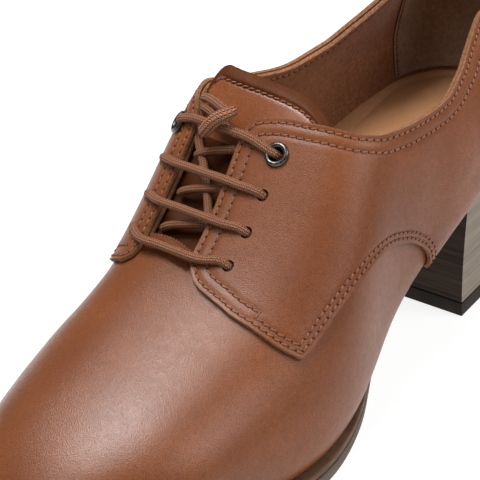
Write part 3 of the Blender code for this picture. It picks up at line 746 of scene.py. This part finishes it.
# The raw edge of the leather: pale fibres, a little fuzzy
raw = Finish("cut_edge", 0.85, 0.2)
fibre = raw.noise(1100, 4.0, 0.7)
raw.colour(raw.mixed(fibre, 0.3, 0.7, linear(100, 62, 41), linear(160, 114, 82)))
raw.bump(fibre, 0.00025)
cut_edge = raw.made
throat = np.arange(OPENING[-2, 0] - 2.0, OPENING[-1, 0] + 1.0, 0.3)
along_upper = stations_between(0, LENGTH, 1.6, throat)
sheets = []
for side, name in SIDE_NAMES.items():
    rise = opening(side, along_upper)[:, None] * np.linspace(0, 1, 60)
    sheets.append(draped("vamp_" + name, lifted(along_upper[:, None], rise, side, 0.0), side > 0))
upper = joined("upper_vamp", sheets)
walled(upper, (calf, lining, cut_edge), WALL, -1, 0.3)
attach(upper, "root")
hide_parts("upper")


# Throat edge
# The vamp ends over the tongue in a thin raw edge, pinked into small teeth, that shows
# between the facings under the lowest bar.
PINK_PITCH = 1.3
PINK_DEPTH = 0.6
THROAT_DEPTH = 8.0
# over: share of the section past the ridge, outwards if positive
THROAT_COLUMNS = ("over", "station")
THROAT_EDGE = np.array([
    [-0.135, 153.0],
    [-0.060, 153.2],
    [0.000, 153.8],
    [0.020, 154.5],
    [0.050, 155.2],
])


def line_lengths(points):
    steps = np.linalg.norm(np.diff(points, axis=0), axis=1)
    return np.concatenate([[0], np.cumsum(steps)])


def over_ridge(station, over, lift):
    """Point outside the upper on either side of its ridge."""
    rise = 1 - np.abs(over)
    outer, inner = (lifted(station, rise, side, lift) for side in SIDE_NAMES)
    return np.where((over > 0)[..., None], outer, inner)


over = np.linspace(*THROAT_EDGE[[0, -1], 0], 160)
edge = eased(THROAT_EDGE, "station", THROAT_COLUMNS, over)
tooth = np.abs(line_lengths(over_ridge(edge, over, 0.0)) / PINK_PITCH % 1 * 2 - 1)
share = np.linspace(0, 1, 24)[:, None] ** 2
past = share * THROAT_DEPTH
station = edge + past + PINK_DEPTH * tooth * (1 - share) ** 8
# proud of the vamp at its edge, which turns down to the tongue, and flush further on
strip_lift = 0.15 - 0.22 * share - 0.7 * np.exp(-past ** 2)
places = over_ridge(station, np.broadcast_to(over, station.shape), strip_lift)
strip = draped("throat_edge", places, False)
walled(strip, (calf_finish("throat_calf", 0.75, 0.1), lining, cut_edge), 0.8, -1, 0.1)
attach(strip, "root")


# Lining and heel grip
# The suede lining is sewn to the upper in a row below the collar. Behind the heel a
# darker patch of suede is stuck over it and stitched down, so that the foot doesn't slip.
# The sock's margin is turned up against it all round.
GRIP_END = 22.0
GRIP_LIFT = 0.5
GRIP_ROW = 1.2
GRIP_BURIED = 0.15
COLLAR_ROW = 1.9
MARGIN_RISE = 1.6
MARGIN_LAP = 0.4
MARGIN_DROP = 0.5
MARGIN_SWELL = 0.5
STITCH_PITCH = 2.5
STITCH_LENGTH = 2.2
STITCH_RADIUS = 0.33
STITCH_DIP = 0.32
NEEDLE_HOLE_SHADE_SIZE = [0.21, 0.48, 0.17]
GRIP_FOOT = 0.05
GRIP_TOP_MARGIN = 0.025


def stitch_model():
    """One stitch, modelled at its size: a short thread that dips into its two holes, and a dark
    blob of painted shade for a needle hole.
    """
    pick()
    bpy.ops.mesh.primitive_uv_sphere_add(segments=8, ring_count=6, radius=1.0)
    ball = bpy.context.object
    verts = np.array([v.co for v in ball.data.vertices])[:, [2, 0, 1]]
    faces = [list(p.vertices) for p in ball.data.polygons]
    bpy.data.objects.remove(ball, do_unlink=True)
    verts[:, 0] = np.sign(verts[:, 0]) * np.abs(verts[:, 0]) ** 0.7
    thread = verts * [STITCH_LENGTH / 2, STITCH_RADIUS, STITCH_RADIUS]
    thread[:, 2] -= STITCH_DIP * verts[:, 0] ** 4
    return thread, verts * NEEDLE_HOLE_SHADE_SIZE, faces


STITCH, NEEDLE_HOLE_SHADE, STITCH_FACES = stitch_model()
thread_brown = Finish("thread_brown", 0.55, 0.4)
twist = thread_brown.noise(2400)
thread_brown.colour(thread_brown.mixed(twist, 0.3, 0.7, linear(112, 66, 43), linear(144, 90, 62)))
thread_brown.bump(twist, 0.0001)
# dark blobs at the ends of every stitch: painted shade of the needle holes
hole_shade_paint = Finish("needle_hole_shade", 0.9, 0.1)
hole_shade_paint.colour(hole_shade_paint.blend(hole_shade_paint.noise(800), linear(56, 31, 20), linear(78, 44, 29)))


def along_line(points, length, at):
    """Places along a line at distances from its start."""
    return np.stack([np.interp(at, length, column) for column in points.T], -1)


def sewn(name, rows, slant=16.0, finish=thread_brown.made):
    """All the stitches of some seams as one mesh: rows hold the points and normals."""
    verts, faces, dark = [], [], []
    lean = math.tan(math.radians(slant))
    for points, normals in rows:
        length = line_lengths(points)
        count = max(2, int(round(length[-1] / STITCH_PITCH)))
        ends = np.linspace(0, length[-1], count + 1)
        at = np.concatenate([(ends[1:] + ends[:-1]) / 2, ends])
        place = along_line(points, length, at)
        normal = along_line(normals, length, at)
        step = unit(along_line(points, length, at + 0.1) - along_line(points, length, at - 0.1))
        step = unit(step + np.cross(normal, step) * lean)
        across_it = np.cross(normal, step)
        for i in range(len(at)):
            # the points between stitches get the dark blob of painted needle-hole shade
            model = STITCH if i < count else NEEDLE_HOLE_SHADE
            base = len(verts) * len(STITCH)
            verts.append(place[i] + model @ np.stack([step[i], across_it[i], normal[i]]))
            faces += [[v + base for v in face] for face in STITCH_FACES]
            dark += [int(i >= count)] * len(STITCH_FACES)
    mesh = bpy.data.meshes.new(name)
    mesh.from_pydata((np.concatenate(verts) * MM).tolist(), [], faces)
    mesh.materials.append(finish)
    mesh.materials.append(hole_shade_paint.made)
    mesh.polygons.foreach_set("material_index", dark)
    mesh.polygons.foreach_set("use_smooth", [True] * len(faces))
    made = bpy.data.objects.new(name, mesh)
    bpy.context.scene.collection.objects.link(made)
    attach(made, "root")


def inside_collar(station, side, drop):
    """Points on the lining at a drop below the collar, and the normals into the shoe."""
    top = opening(side, station)
    higher = on_last(station, top, side)
    lower = on_last(station, top - 0.05, side)
    rise = top - 0.05 * drop / np.linalg.norm(higher - lower, axis=-1)
    return lifted(station, rise, side, -WALL), -outward(station, rise, side)


grip_along = stations_between(0, GRIP_END, 1.6)
sheets = []
lining_rows = []
for side, name in SIDE_NAMES.items():
    top = opening(side, grip_along) - GRIP_TOP_MARGIN
    rise = GRIP_FOOT + (top - GRIP_FOOT)[:, None] * np.linspace(0, 1, 44)
    places = lifted(grip_along[:, None], rise, side, -WALL - GRIP_BURIED)
    sheets.append(draped("grip_" + name, places, side < 0))
    lining_rows.append(inside_collar(np.linspace(6, 121, 300), side, COLLAR_ROW))
    end_rise = np.linspace(0.06, top[-1], 60)
    end_seam = np.full(60, GRIP_END - GRIP_ROW)
    lining_rows.append((lifted(end_seam, end_rise, side, -WALL - GRIP_LIFT - 0.2),
                        -outward(end_seam, end_rise, side)))
grip = joined("heel_grip", sheets)
grip_suede = suede_finish("heel_grip_suede", (170, 144, 122), (125, 104, 88))
walled(grip, [grip_suede] * 3, GRIP_LIFT, 1, 0.15)
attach(grip, "root")
sewn("lining_stitches", lining_rows)

board_edge = feather_outline(along, -INSOLE_INSET - MARGIN_LAP)
board_edge = at_height(board_edge, feather_height(board_edge) + INSOLE_THICKNESS - MARGIN_DROP)
share = np.linspace(0, 1, 7)[None, :, None]
foot_rises = np.linspace(0, WIDEST_FRACTION, 60)
sheets = []
for side, inner in ((1, board_edge[:len(along)]), (-1, board_edge[:len(along) - 1:-1])):
    heights = lifted(along[:, None], foot_rises, side, -WALL)[..., 2] - inner[:, 2:]
    rise = np.array([np.interp(MARGIN_RISE, row, foot_rises) for row in heights])
    outer_edge = lifted(along, rise, side, -WALL)
    places = inner[:, None] + (outer_edge - inner)[:, None] * share
    places[..., 2] += MARGIN_SWELL * np.sin(math.pi * share[..., 0])
    sheets.append(draped("margin_" + SIDE_NAMES[side], places, side < 0))
margin = joined("sock_margin", sheets)
margin.data.materials.append(sock.made)
smooth_by_angle(margin, 60)
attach(margin, "root")


# Tongue
# A strip of the same calf under the lacing, sewn in at the throat. Its top is folded
# over and stitched into a band, coloured darker as painted shade where it rolls away.
# The laces press it down between the facings, and there it is dull and coloured darker
# as painted shade.
TONGUE_GAP = 0.8
TONGUE_THICKNESS = 1.5
TONGUE_FOOT = 166.0
TONGUE_TAPER = 0.3
TONGUE_LEAN_SPAN = 9.0
TONGUE_BAND = 3.2
BAND_STEP = 0.35
BAND_ROLL = 1.5
BAND_ROW = 3.7
LACED_FROM = 126.0
# where the laces press deepest, how deep, and how far round it
PRESS_DEPTH, PRESS_DOWN, PRESS_OVER = 3.0, 26.0, -0.03
PRESS_LENGTH, PRESS_WIDTH = 15.0, 0.1
TONGUE_COLUMNS = ("over", "top", "lean")
TONGUE = np.array([
    [-0.215, 113.4, 3.0],
    [-0.213, 111.8, 3.0],
    [-0.206, 110.6, 2.9],
    [-0.190, 110.1, 2.7],
    [-0.150, 110.4, 2.4],
    [-0.110, 111.2, 1.6],
    [-0.060, 112.0, 0.8],
    [0.000, 112.5, 0.2],
    [0.060, 112.8, 0.0],
    [0.140, 113.0, 0.0],
    [0.200, 114.0, 0.0],
    [0.230, 115.0, 0.0],
    [0.260, 116.5, 0.0],
])


def on_tongue(down, over, lift):
    """Point of the tongue and its normal, at a distance down from its top edge."""
    down, over, lift = np.broadcast_arrays(down, over, lift)
    top, lean = (eased(TONGUE, name, TONGUE_COLUMNS, over) for name in ("top", "lean"))
    station = top + down
    over = over * (1 - TONGUE_TAPER * down / (TONGUE_FOOT - top))
    free = np.clip(1 - down / TONGUE_LEAN_SPAN, 0, 1) ** 2
    away = lean * free - WALL - TONGUE_GAP + lift
    place = over_ridge(station, over, away)
    return place, over_ridge(station, over, away + 1) - place


share = np.unique(np.concatenate([np.linspace(0, 0.14, 36), np.linspace(0.14, 1, 46)]))[:, None]
inner_side, corner, outer_side = TONGUE[0, 0], -0.185, TONGUE[-1, 0]
over = np.unique(np.concatenate([np.linspace(inner_side, corner, 16),
                                 np.linspace(corner, outer_side, 60)]))[None]
down = share * (TONGUE_FOOT - eased(TONGUE, "top", TONGUE_COLUMNS, over))
pressed = PRESS_DEPTH * np.exp(-((down - PRESS_DOWN) / PRESS_LENGTH) ** 2
                               - ((over - PRESS_OVER) / PRESS_WIDTH) ** 2)
band = BAND_STEP / (1 + np.exp((down - TONGUE_BAND) / 0.12))
band = band - BAND_ROLL * np.clip(1 - down / TONGUE_BAND, 0, 1) ** 1.7
seam = 0.3 * np.exp(-((down - BAND_ROW) / 0.5) ** 2)
band_line = on_tongue(TONGUE_BAND, np.linspace(inner_side, outer_side, 400), 0.0)[0]
tongue = draped("tongue_strip", on_tongue(down, over, band - pressed - seam)[0], False)
tongue_calf = calf_finish("tongue_calf", 1.2)
# darker, dull calf for the folded band: its darker colour is painted shade
band_shade_calf = calf_finish("tongue_band_shade_calf", 0.5, 0.06)
# darker, dull calf under the lacing: its darker colour is painted shade between the facings
laced_shade_calf = calf_finish("tongue_laced_shade_calf", 0.4, 0.06)
walled(tongue, (tongue_calf, lining, band_shade_calf, band_shade_calf, laced_shade_calf), TONGUE_THICKNESS, -1, 0.35)
# faces past the band line take the painted-shade band calf, and faces under the lacing the
# painted-shade laced calf
for face in tongue.data.polygons:
    past = np.argmin(np.abs(face.center.x / MM - band_line[:, 0]))
    if face.material_index == 0 and face.center.y / MM > band_line[past, 1]:
        face.material_index = 3
    elif face.material_index == 0 and CENTRE_STATION - face.center.y / MM > LACED_FROM:
        face.material_index = 4
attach(tongue, "root")
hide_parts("tongue")
sewn("tongue_stitches", [on_tongue(BAND_ROW, np.linspace(-0.205, 0.25, 200), -0.15)])


# Quarters
# Two panels of calf that overlap the vamp and close over the instep, each cut in one
# with its facing. Two rows of stitches follow the edges, a bar of stitches ties the
# front, and the leather sinks along every row.
GAP = 0.45
OVERLAY = 1.3
QUARTER_COLUMNS = ("station", "low", "high")
FOOT_TURN = 91.5
FOOT_SLANT = 12.0
LATERAL_POINT = 160.5
MEDIAL_POINT = 152.0
LATERAL_QUARTER = np.array([
    [91.5, 0.030, 0.514],
    [94, 0.129, 0.520],
    [101, 0.226, 0.550],
    [109.5, 0.295, 0.618],
    [121, 0.385, 0.900],
    [129.4, 0.445, 0.962],
    [139.6, 0.500, 0.959],
    [149.6, 0.525, 0.956],
    [157.1, 0.527, 0.948],
    [160.5, 0.531, 0.936],
    [162.4, 0.578, 0.920],
    [164.2, 0.645, 0.878],
    [165.2, 0.732, 0.821],
    [165.55, 0.770, 0.797],
])
MEDIAL_QUARTER = np.array([
    [91.5, 0.030, 0.530],
    [94, 0.129, 0.540],
    [101, 0.226, 0.585],
    [109.5, 0.295, 0.670],
    [121, 0.380, 0.826],
    [134.5, 0.468, 0.884],
    [145, 0.510, 0.878],
    [152, 0.530, 0.874],
    [155.6, 0.588, 0.872],
    [158, 0.644, 0.867],
    [160.2, 0.712, 0.856],
    [161.5, 0.778, 0.824],
    [161.8, 0.793, 0.806],
])
EDGE_ROW = 1.5
CLOSE_ROW = 3.3
WIDE_ROW = 5.2
BAR_TACK_SHARE = 0.34
SEAM_DEPTH = 0.28
SEAM_WIDTH = 0.85
THREAD_PROUD = 0.12
EDGE_POINTS = 1600
FRONT_POINTS = 500
PANEL_GRID = (236, 78)


def on_route(route, side):
    """Points of the last at (station, rise) pairs."""
    return on_last(route[..., 0], route[..., 1], side)


def evenly(route, side, count):
    """A line of (station, rise) pairs again, at equal distances over the last."""
    length = line_lengths(on_route(route, side))
    return along_line(route, length, np.linspace(0, length[-1], count))


def splined(points, length, count):
    """A smooth line in equal steps through a few points that lie at these lengths."""
    at = np.linspace(0, length[-1], count)
    return np.stack([natural_spline(length, column, at) for column in points.T], -1)


def quarter_edges(side, table, point):
    """Lower edge, front edge and top edge of a quarter, as (station, rise) lines."""
    foot = np.linspace(0, point, EDGE_POINTS)
    low = np.stack([foot, eased(table, "low", QUARTER_COLUMNS, foot)], -1)
    facing_foot = OPENING[-2, 0]
    top = np.linspace(0, facing_foot, EDGE_POINTS)
    high = np.stack([top, opening(side, top)], -1)
    turned = table[table[:, 0] >= point]
    over = turned[turned[:, 0] > facing_foot + 1.0][::-1]
    knots = np.concatenate([turned[:, :2], over[:, [0, 2]], high[-1:]])
    return low, splined(knots, line_lengths(on_route(knots, side)), FRONT_POINTS), high


def evenly_in_two(route, side, count, parting):
    """Equal steps on each side of a parting station, with half the points before it."""
    cut = np.searchsorted(route[:, 0], parting)
    half = count // 2
    before = evenly(route[:cut + 1], side, half)
    return np.concatenate([before, evenly(route[cut:], side, count - half + 1)[1:]])


def patch_between(low, front, high, side, columns, rows):
    """Grid of (station, rise) pairs between a panel's edges, even along each edge."""
    u = np.linspace(0, 1, columns)[:, None, None]
    v = np.linspace(0, 1, rows)[None, :, None]
    low = evenly_in_two(low, side, columns, FOOT_TURN)[:, None, :]
    high = evenly_in_two(high, side, columns, FOOT_TURN - FOOT_SLANT)[:, None, :]
    front = evenly(front, side, rows)[None]
    seam = low[0] + (high[0] - low[0]) * v[0]
    flat = (1 - v) * low + v * high + (1 - u) * seam[None] + u * front
    corners = (1 - u) * (1 - v) * low[:1] + (1 - u) * v * high[:1]
    corners = corners + u * (1 - v) * low[-1:] + u * v * high[-1:]
    return flat - corners


def distance_to(targets, points):
    """How far each point is from the nearest target."""
    tree = KDTree(len(targets))
    for i, target in enumerate(targets):
        tree.insert(target, i)
    tree.balance()
    return np.array([tree.find(p)[2] for p in points.reshape(-1, 3)]).reshape(points.shape[:-1])


def inset_line(outline, side, distance):
    """A line at a distance inside an outline that has the panel on its left."""
    station, rise = outline.T
    place = on_route(outline, side)
    inward = np.cross(unit(np.gradient(place, axis=0)), outward(station, rise, side)) * side
    by_station = (on_last(station + 0.05, rise, side) - on_last(station - 0.05, rise, side)) / 0.1
    by_rise = (on_last(station, rise + 0.001, side) - on_last(station, rise - 0.001, side)) / 0.002
    shift = np.array([np.linalg.lstsq(axes.T, way * distance, rcond=None)[0]
                      for axes, way in zip(np.stack([by_station, by_rise], 1), inward)])
    for correction in range(3):
        reached = on_route(outline + shift, side)
        shift *= distance / np.linalg.norm(reached - place, axis=1, keepdims=True)
    moved = outline + shift
    return moved[distance_to(place, on_route(moved, side)) > distance - 0.1]


def seam_on(route, side, lift):
    """Points and normals of a seam that lies at a height over the last."""
    station, rise = evenly(route, side, max(8, int(len(route) / 2))).T
    return lifted(station, rise, side, lift), outward(station, rise, side)


def quarter_rows(low, front, high, side, table):
    """The stitch rows of a quarter and its bar tack, as (station, rise) lines."""
    free = low[low[:, 0] > table[0, 0] + 0.4]
    edge = inset_line(np.concatenate([free, front[1:-1], high[::-1]]), side, EDGE_ROW)
    close = inset_line(np.concatenate([free, front[1:-1]]), side, CLOSE_ROW)
    wide = inset_line(np.concatenate([front[1:-1], high[::-1]]), side, WIDE_ROW)
    tack = on_route(front[int(len(front) * BAR_TACK_SHARE)], side)
    stop, start = (np.argmin(np.linalg.norm(on_route(row, side) - tack, axis=1))
                   for row in (close, wide))
    first, second = close[stop], wide[start]
    bar = first + (second - first) * np.linspace(-0.1, 1.1, 30)[:, None]
    return [edge, close[:stop + 1], wide[start:]], bar


QUARTER_LIFT = GAP + OVERLAY
quarter_calf = calf_finish("quarter_calf", 0.99, 0.29)
quarters = {}
for side, name, table, point in ((1, "lateral", LATERAL_QUARTER, LATERAL_POINT),
                                 (-1, "medial", MEDIAL_QUARTER, MEDIAL_POINT)):
    low, front, high = quarter_edges(side, table, point)
    rows, bar = quarter_rows(low, front, high, side, table)
    grid = patch_between(low, front, high, side, *PANEL_GRID)
    away = distance_to(on_route(np.concatenate(rows), side), on_route(grid, side))
    sunk = SEAM_DEPTH * np.exp(-(away / SEAM_WIDTH) ** 2)
    places = lifted(grid[..., 0], grid[..., 1], side, QUARTER_LIFT - sunk)
    behind = grid[..., 0] < HEEL_ROUND
    seam_side = np.maximum(places[..., 0] * side, GAP / 2 - CENTRE_X * side)
    places[..., 0] = np.where(behind, seam_side * side, places[..., 0])
    panel = draped("quarter_panel_" + name, places, side > 0)
    walled(panel, (quarter_calf, lining, cut_edge), OVERLAY, -1, 0.35)
    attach(panel, "root")
    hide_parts("quarter_" + name)
    seam_lift = QUARTER_LIFT - SEAM_DEPTH + THREAD_PROUD
    sewn("quarter_stitches_" + name, [seam_on(row, side, seam_lift) for row in rows + [bar]])
    quarters[side] = panel


# Heel seat stitches
# A row of pale waxed thread through the sole's ledge, round the back of the shoe, that
# holds the seat before the heel is nailed on.
SEAT_END = 58.0
SEAT_ROW = 0.9
SEAT_SLANT = 30.0
seat = along < SEAT_END
ring = feather_outline(along, ledge - SEAT_ROW)
outer_half, inner_half = ring[:len(along)][seat], ring[len(along):][::-1][seat]
seat_row = np.concatenate([inner_half[::-1], outer_half[1:]])
seat_row = at_height(seat_row, feather_height(seat_row) - SOLE_GAP + 0.1)
waxed = Finish("seat_thread", 0.6, 0.3)
waxed.colour(waxed.blend(waxed.noise(900, 3.0), linear(150, 128, 104), linear(204, 184, 158)))
upwards = np.tile([0.0, 0.0, 1.0], (len(seat_row), 1))
sewn("seat_stitches", [(seat_row, upwards)], SEAT_SLANT, waxed.made)


# Lace holes and eyelets
# Four holes are punched through each facing and the upper behind it. The top hole of
# each side has a turned gunmetal eyelet, clenched inside, and the others are left raw.
PUNCHED_RADIUS = 1.9
PUNCH_DEPTH = 12.0
EYELET_HOLE_RADIUS = 3.0
EYELET_RADIUS = 3.9
EYELET_BORE = 2.2
EYELET_BARREL = 2.6
LACE_CLEAR = 0.3
TOP_HOLE_STATION = 128.0
HOLE_PITCH = 9.0
HOLE_COUNT = 4
HOLE_RISE = {1: 0.869, -1: 0.765}
MEDIAL_HOLE_SHIFT = -3.0


def hole_station(row, side):
    return TOP_HOLE_STATION + HOLE_PITCH * row + (0.0 if side > 0 else MEDIAL_HOLE_SHIFT)


def hole_frame(row, side, lift):
    """Frame with Z along the upper's normal at a lace hole."""
    station, rise = hole_station(row, side), HOLE_RISE[side]
    place = Vector(lifted(station, rise, side, lift) * MM)
    turned = Vector(outward(station, rise, side)).to_track_quat("Z", "Y")
    return Matrix.Translation(place) @ turned.to_matrix().to_4x4()


def punched(made, cutters):
    """Cut the holes right through, and leave the raw edge on their walls."""
    pick(*cutters)
    bpy.ops.object.join()
    punch = bpy.context.object
    pick(made)
    hole = made.modifiers.new("holes", "BOOLEAN")
    hole.operation = "DIFFERENCE"
    hole.solver = "EXACT"
    hole.material_mode = "TRANSFER"
    hole.object = punch
    bpy.ops.object.modifier_apply(modifier=hole.name)
    bpy.data.objects.remove(punch, do_unlink=True)
    smooth_by_angle(made, 60)


def punch_row(side):
    """Round punches for one side's holes."""
    cutters = []
    for row in range(HOLE_COUNT):
        radius = EYELET_HOLE_RADIUS if row == 0 else PUNCHED_RADIUS
        pick()
        bpy.ops.mesh.primitive_cylinder_add(vertices=28, radius=radius * MM, depth=PUNCH_DEPTH * MM)
        cutter = bpy.context.object
        cutter.data.transform(hole_frame(row, side, 0.0))
        cutter.data.materials.append(cut_edge)
        cutters.append(cutter)
    return cutters


for side in (1, -1):
    punched(quarters[side], punch_row(side))
punched(upper, punch_row(1) + punch_row(-1))

gunmetal = Finish("gunmetal", 0.28, 0.5)
gunmetal.set("Metallic", 1.0)
brushed = gunmetal.noise(1500, 3.0)
worn = gunmetal.noise(500, 3.0)
gunmetal.colour(gunmetal.mixed(worn, 0.4, 0.7, linear(74, 72, 72), linear(124, 118, 112)))
gunmetal.rough(gunmetal.spread(brushed, 0.3, 0.7, 0.22, 0.38))
flange = LACE_CLEAR
eyelet_profile = [
    (EYELET_BORE, -OVERLAY - GAP - WALL), (EYELET_BARREL, -OVERLAY - GAP - WALL),
    (EYELET_BARREL, flange), (EYELET_RADIUS - 0.15, flange), (EYELET_RADIUS, flange + 0.15),
    (EYELET_RADIUS - 0.1, flange + 0.5), (EYELET_RADIUS - 0.5, flange + 0.82),
    (EYELET_BARREL + 0.4, flange + 0.92), (EYELET_BARREL - 0.05, flange + 0.8),
    (EYELET_BORE + 0.1, flange + 0.5), (EYELET_BORE, flange + 0.1),
]
for side, name in SIDE_NAMES.items():
    pick()
    bpy.ops.mesh.primitive_circle_add(vertices=len(eyelet_profile), fill_type="NOTHING")
    ring = bpy.context.object
    ring.name = ring.data.name = "eyelet_ring_" + name
    for vertex, (radius, height) in zip(ring.data.vertices, eyelet_profile):
        vertex.co = (radius * MM, 0.0, height * MM)
    bpy.ops.object.mode_set(mode="EDIT")
    bpy.ops.mesh.select_all(action="SELECT")
    bpy.ops.mesh.spin(steps=48, angle=2 * math.pi, center=(0, 0, 0), axis=(0, 0, 1))
    bpy.ops.mesh.select_all(action="SELECT")
    bpy.ops.mesh.remove_doubles(threshold=0.01 * MM)
    bpy.ops.mesh.normals_make_consistent(inside=False)
    bpy.ops.object.mode_set(mode="OBJECT")
    ring.data.transform(hole_frame(0, side, GAP + OVERLAY))
    ring.data.materials.append(gunmetal.made)
    smooth_by_angle(ring, 45)
    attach(ring, "root")
    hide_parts("eyelet_" + name)


# Laces
# One round braided cord, 2.7 mm thick: straight bars over the facings from hole to hole,
# runs from side to side under them, and a tail tucked down along the tongue.
LACE_RADIUS = 1.35
BRAID_RIBS = 10.0
BRAID_STEP = 0.8
LACE_SIDES = 16
ROUTE_STEP = 0.6
BAR_LIFT = GAP + OVERLAY + LACE_CLEAR + LACE_RADIUS
RUN_LIFT = LACE_CLEAR + LACE_RADIUS - WALL - TONGUE_GAP


def over_instep(station, x_fit, lift):
    """Point above the instep at a given place across the foot."""
    x = x_fit - CENTRE_X
    side = 1 if x > on_last(station, 1.0, 1)[0] else -1
    rises = np.linspace(0.5, 1.0, 101)
    xs = on_last(np.full(101, station), rises, side)[:, 0] * side
    return lifted(station, np.interp(-x * side, -xs, rises), side, lift)


def smooth_route(points):
    """A smooth line through a few points, with points close together."""
    points = np.array(points)
    length = line_lengths(points)
    return splined(points, length, max(8, int(length[-1] / ROUTE_STEP)))


def lace_tube(name, route, swell=1.0, tip=LACE_RADIUS):
    """A cord along a route, swollen at a knot and tapered over its tip.

    Its UVs are the length along it and the turn round it."""
    ahead = unit(np.gradient(route, axis=0))
    sideways = [np.cross(ahead[0], [0.0, 0.0, 1.0])]
    for step in ahead:
        sideways.append(unit(sideways[-1] - step * (sideways[-1] @ step)))
    sideways = np.array(sideways[1:])
    upward = np.cross(ahead, sideways)
    length = line_lengths(route)
    blunt = np.sqrt(1 - np.clip(1 - (length + 0.02) / LACE_RADIUS, 0, 1) ** 2)
    pointed = np.sqrt(1 - np.clip(1 - (length[-1] - length + 0.02) / tip, 0, 1) ** 2)
    radius = (LACE_RADIUS * blunt * pointed * swell)[:, None, None]
    angle = np.linspace(0, 2 * math.pi, LACE_SIDES + 1)[None, :, None]
    spoke = np.cos(angle) * sideways[:, None] + np.sin(angle) * upward[:, None]
    tube = joined(name, [draped(name, route[:, None] + spoke * radius, False)])
    layer = tube.data.uv_layers.active.data
    uv = np.empty(len(layer) * 2)
    layer.foreach_get("uv", uv)
    uv[::2] *= length[-1]
    layer.foreach_set("uv", uv)
    tube.data.materials.append(braid.made)
    smooth_by_angle(tube, 80)
    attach(tube, "root")
    return tube


braid = Finish("lace_braid", 0.7, 0.35)
along_cord, round_cord = (braid.node("SeparateXYZ", axis, {0: braid.node("TexCoord", "UV", {})})
                          for axis in "XY")
rib = braid.math("PINGPONG", braid.math("MULTIPLY", round_cord, BRAID_RIBS), 0.5)
slanted = braid.math("ADD", braid.math("MULTIPLY", along_cord, 1 / BRAID_STEP),
                     braid.math("MULTIPLY", rib, 1.6))
yarn = braid.math("SINE", braid.math("MULTIPLY", slanted, 2 * math.pi), 0.0)
crown = braid.spread(rib, 0.0, 0.2, 0, 1)
fuzz = braid.noise(1500, 3.0)
# lighter yarn crests and darker valleys between them: painted highlight and painted shade of the
# braid's relief, over its bump
tone = braid.mixed(yarn, -0.9, 0.9, linear(138, 82, 55), linear(202, 142, 105))
# darker in the grooves between the ribs: painted shade
tone = braid.blend(crown, linear(76, 40, 26), tone)
braid.colour(braid.mixed(fuzz, 0.35, 0.7, tone, linear(96, 52, 34), 0.25))
braid.bump(yarn, 0.0002, braid.bump(crown, 0.00025))

# A bar, from the outer hole over the throat to the inner hole. share: how much of the
# holes' shift it has taken up; drop: how far it comes down towards the holes; bow: its
# share of the row's bow towards the toe
BAR = [(1, 0.915, 0.14, 0.35, 0.5), (1, 0.955, 0.27, 0.1, 0.85),
       (-1, 0.878, 0.68, 0.0, 0.9), (-1, 0.825, 0.84, 0.2, 0.35)]
BAR_BOW = (0.0, 1.5, 2.1, 3.8)
# The end of a bar: how far past the hole it lies towards the throat, and its lift
BAR_END = [(-0.006, -2.4), (0.0, 0.4), (0.018, 2.3)]
for row in range(HOLE_COUNT):
    over = [lifted(hole_station(row, 1) + MEDIAL_HOLE_SHIFT * share + BAR_BOW[row] * bow,
                   rise, side, BAR_LIFT - drop) for side, rise, share, drop, bow in BAR]
    over[2:2] = [over[1] + (over[2] - over[1]) * t for t in (0.33, 0.67)]
    outer_end, inner_end = ([lifted(hole_station(row, side), rise + past, side, lift)
                             for past, lift in BAR_END] for side, rise in HOLE_RISE.items())
    route = smooth_route(outer_end + over + inner_end[::-1])
    bar = lace_tube(f"lace_over_{row + 1}", route)
    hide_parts(f"lace_bar_{row + 1}")

# A run, as stations ahead of its row of holes, X and how far it drops at its ends
RUN = [(5.5, -25.2, 1.2), (5.0, -23.0, 0.2), (4.0, -18.8, 0.0), (3.1, -14.6, 0.0),
       (2.2, -10.5, 0.2), (1.7, -8.2, 1.2)]
for row in range(HOLE_COUNT - 1):
    first = hole_station(row, 1)
    route = smooth_route([over_instep(first + ahead, x, RUN_LIFT - drop) for ahead, x, drop in RUN])
    run = lace_tube(f"lace_under_{row + 1}", route)
    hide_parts(f"lace_crossing_{row + 1}")


# Knot
# The lace's first end comes from behind the inner facing, turns over the top bar and
# stops short, cut at a slant. The other end passes under the bar, and its tail is tucked
# down along the tongue.
LOOSE_SWELL = 1.1
KNOT_SWELL = 0.5
KNOT_TIP = 3.0
FIRST_END = [(119.6, -31.1, 0.3), (120.5, -27.6, 0.6), (121.6, -23.7, 1.2), (122.6, -20.2, 1.9),
             (123.3, -17.2, 2.4), (123.4, -14.9, 3.2), (123.5, -13.4, 4.6), (124.2, -13.2, 6.2),
             (125.4, -14.6, 7.0), (126.8, -16.6, 6.9), (128.3, -18.7, 5.6), (129.6, -21.4, 3.4)]
SECOND_END = [(122.2, -29.6, 0.0), (123.4, -25.6, 0.4), (124.8, -21.4, 0.7), (126.0, -17.2, 0.5),
              (126.8, -13.8, -0.1), (127.3, -10.6, -0.5), (127.8, -7.6, -1.6)]
TAIL = [(126.4, -29.0, -1.5), (129.3, -26.7, -1.3), (131.5, -24.5, -1.4), (136.0, -19.5, -1.6),
        (138.5, -17.2, -1.8), (141.5, -14.1, -1.9), (144.5, -11.4, -1.8), (147.0, -9.0, -2.4)]
knot_route, tucked_route, tail_route = (smooth_route([over_instep(*point) for point in end])
                                        for end in (FIRST_END, SECOND_END, TAIL))
knot_length = line_lengths(knot_route)
knotted = np.clip((knot_length / knot_length[-1] - 0.5) / 0.2, 0, 1)
knot = lace_tube("lace_knot_cord", knot_route, LOOSE_SWELL + KNOT_SWELL * knotted, KNOT_TIP)
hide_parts("lace_knot", "lace_end_1")
tucked = lace_tube("lace_tucked_end", tucked_route)
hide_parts("lace_end_2")
tail = lace_tube("lace_tail", tail_route)
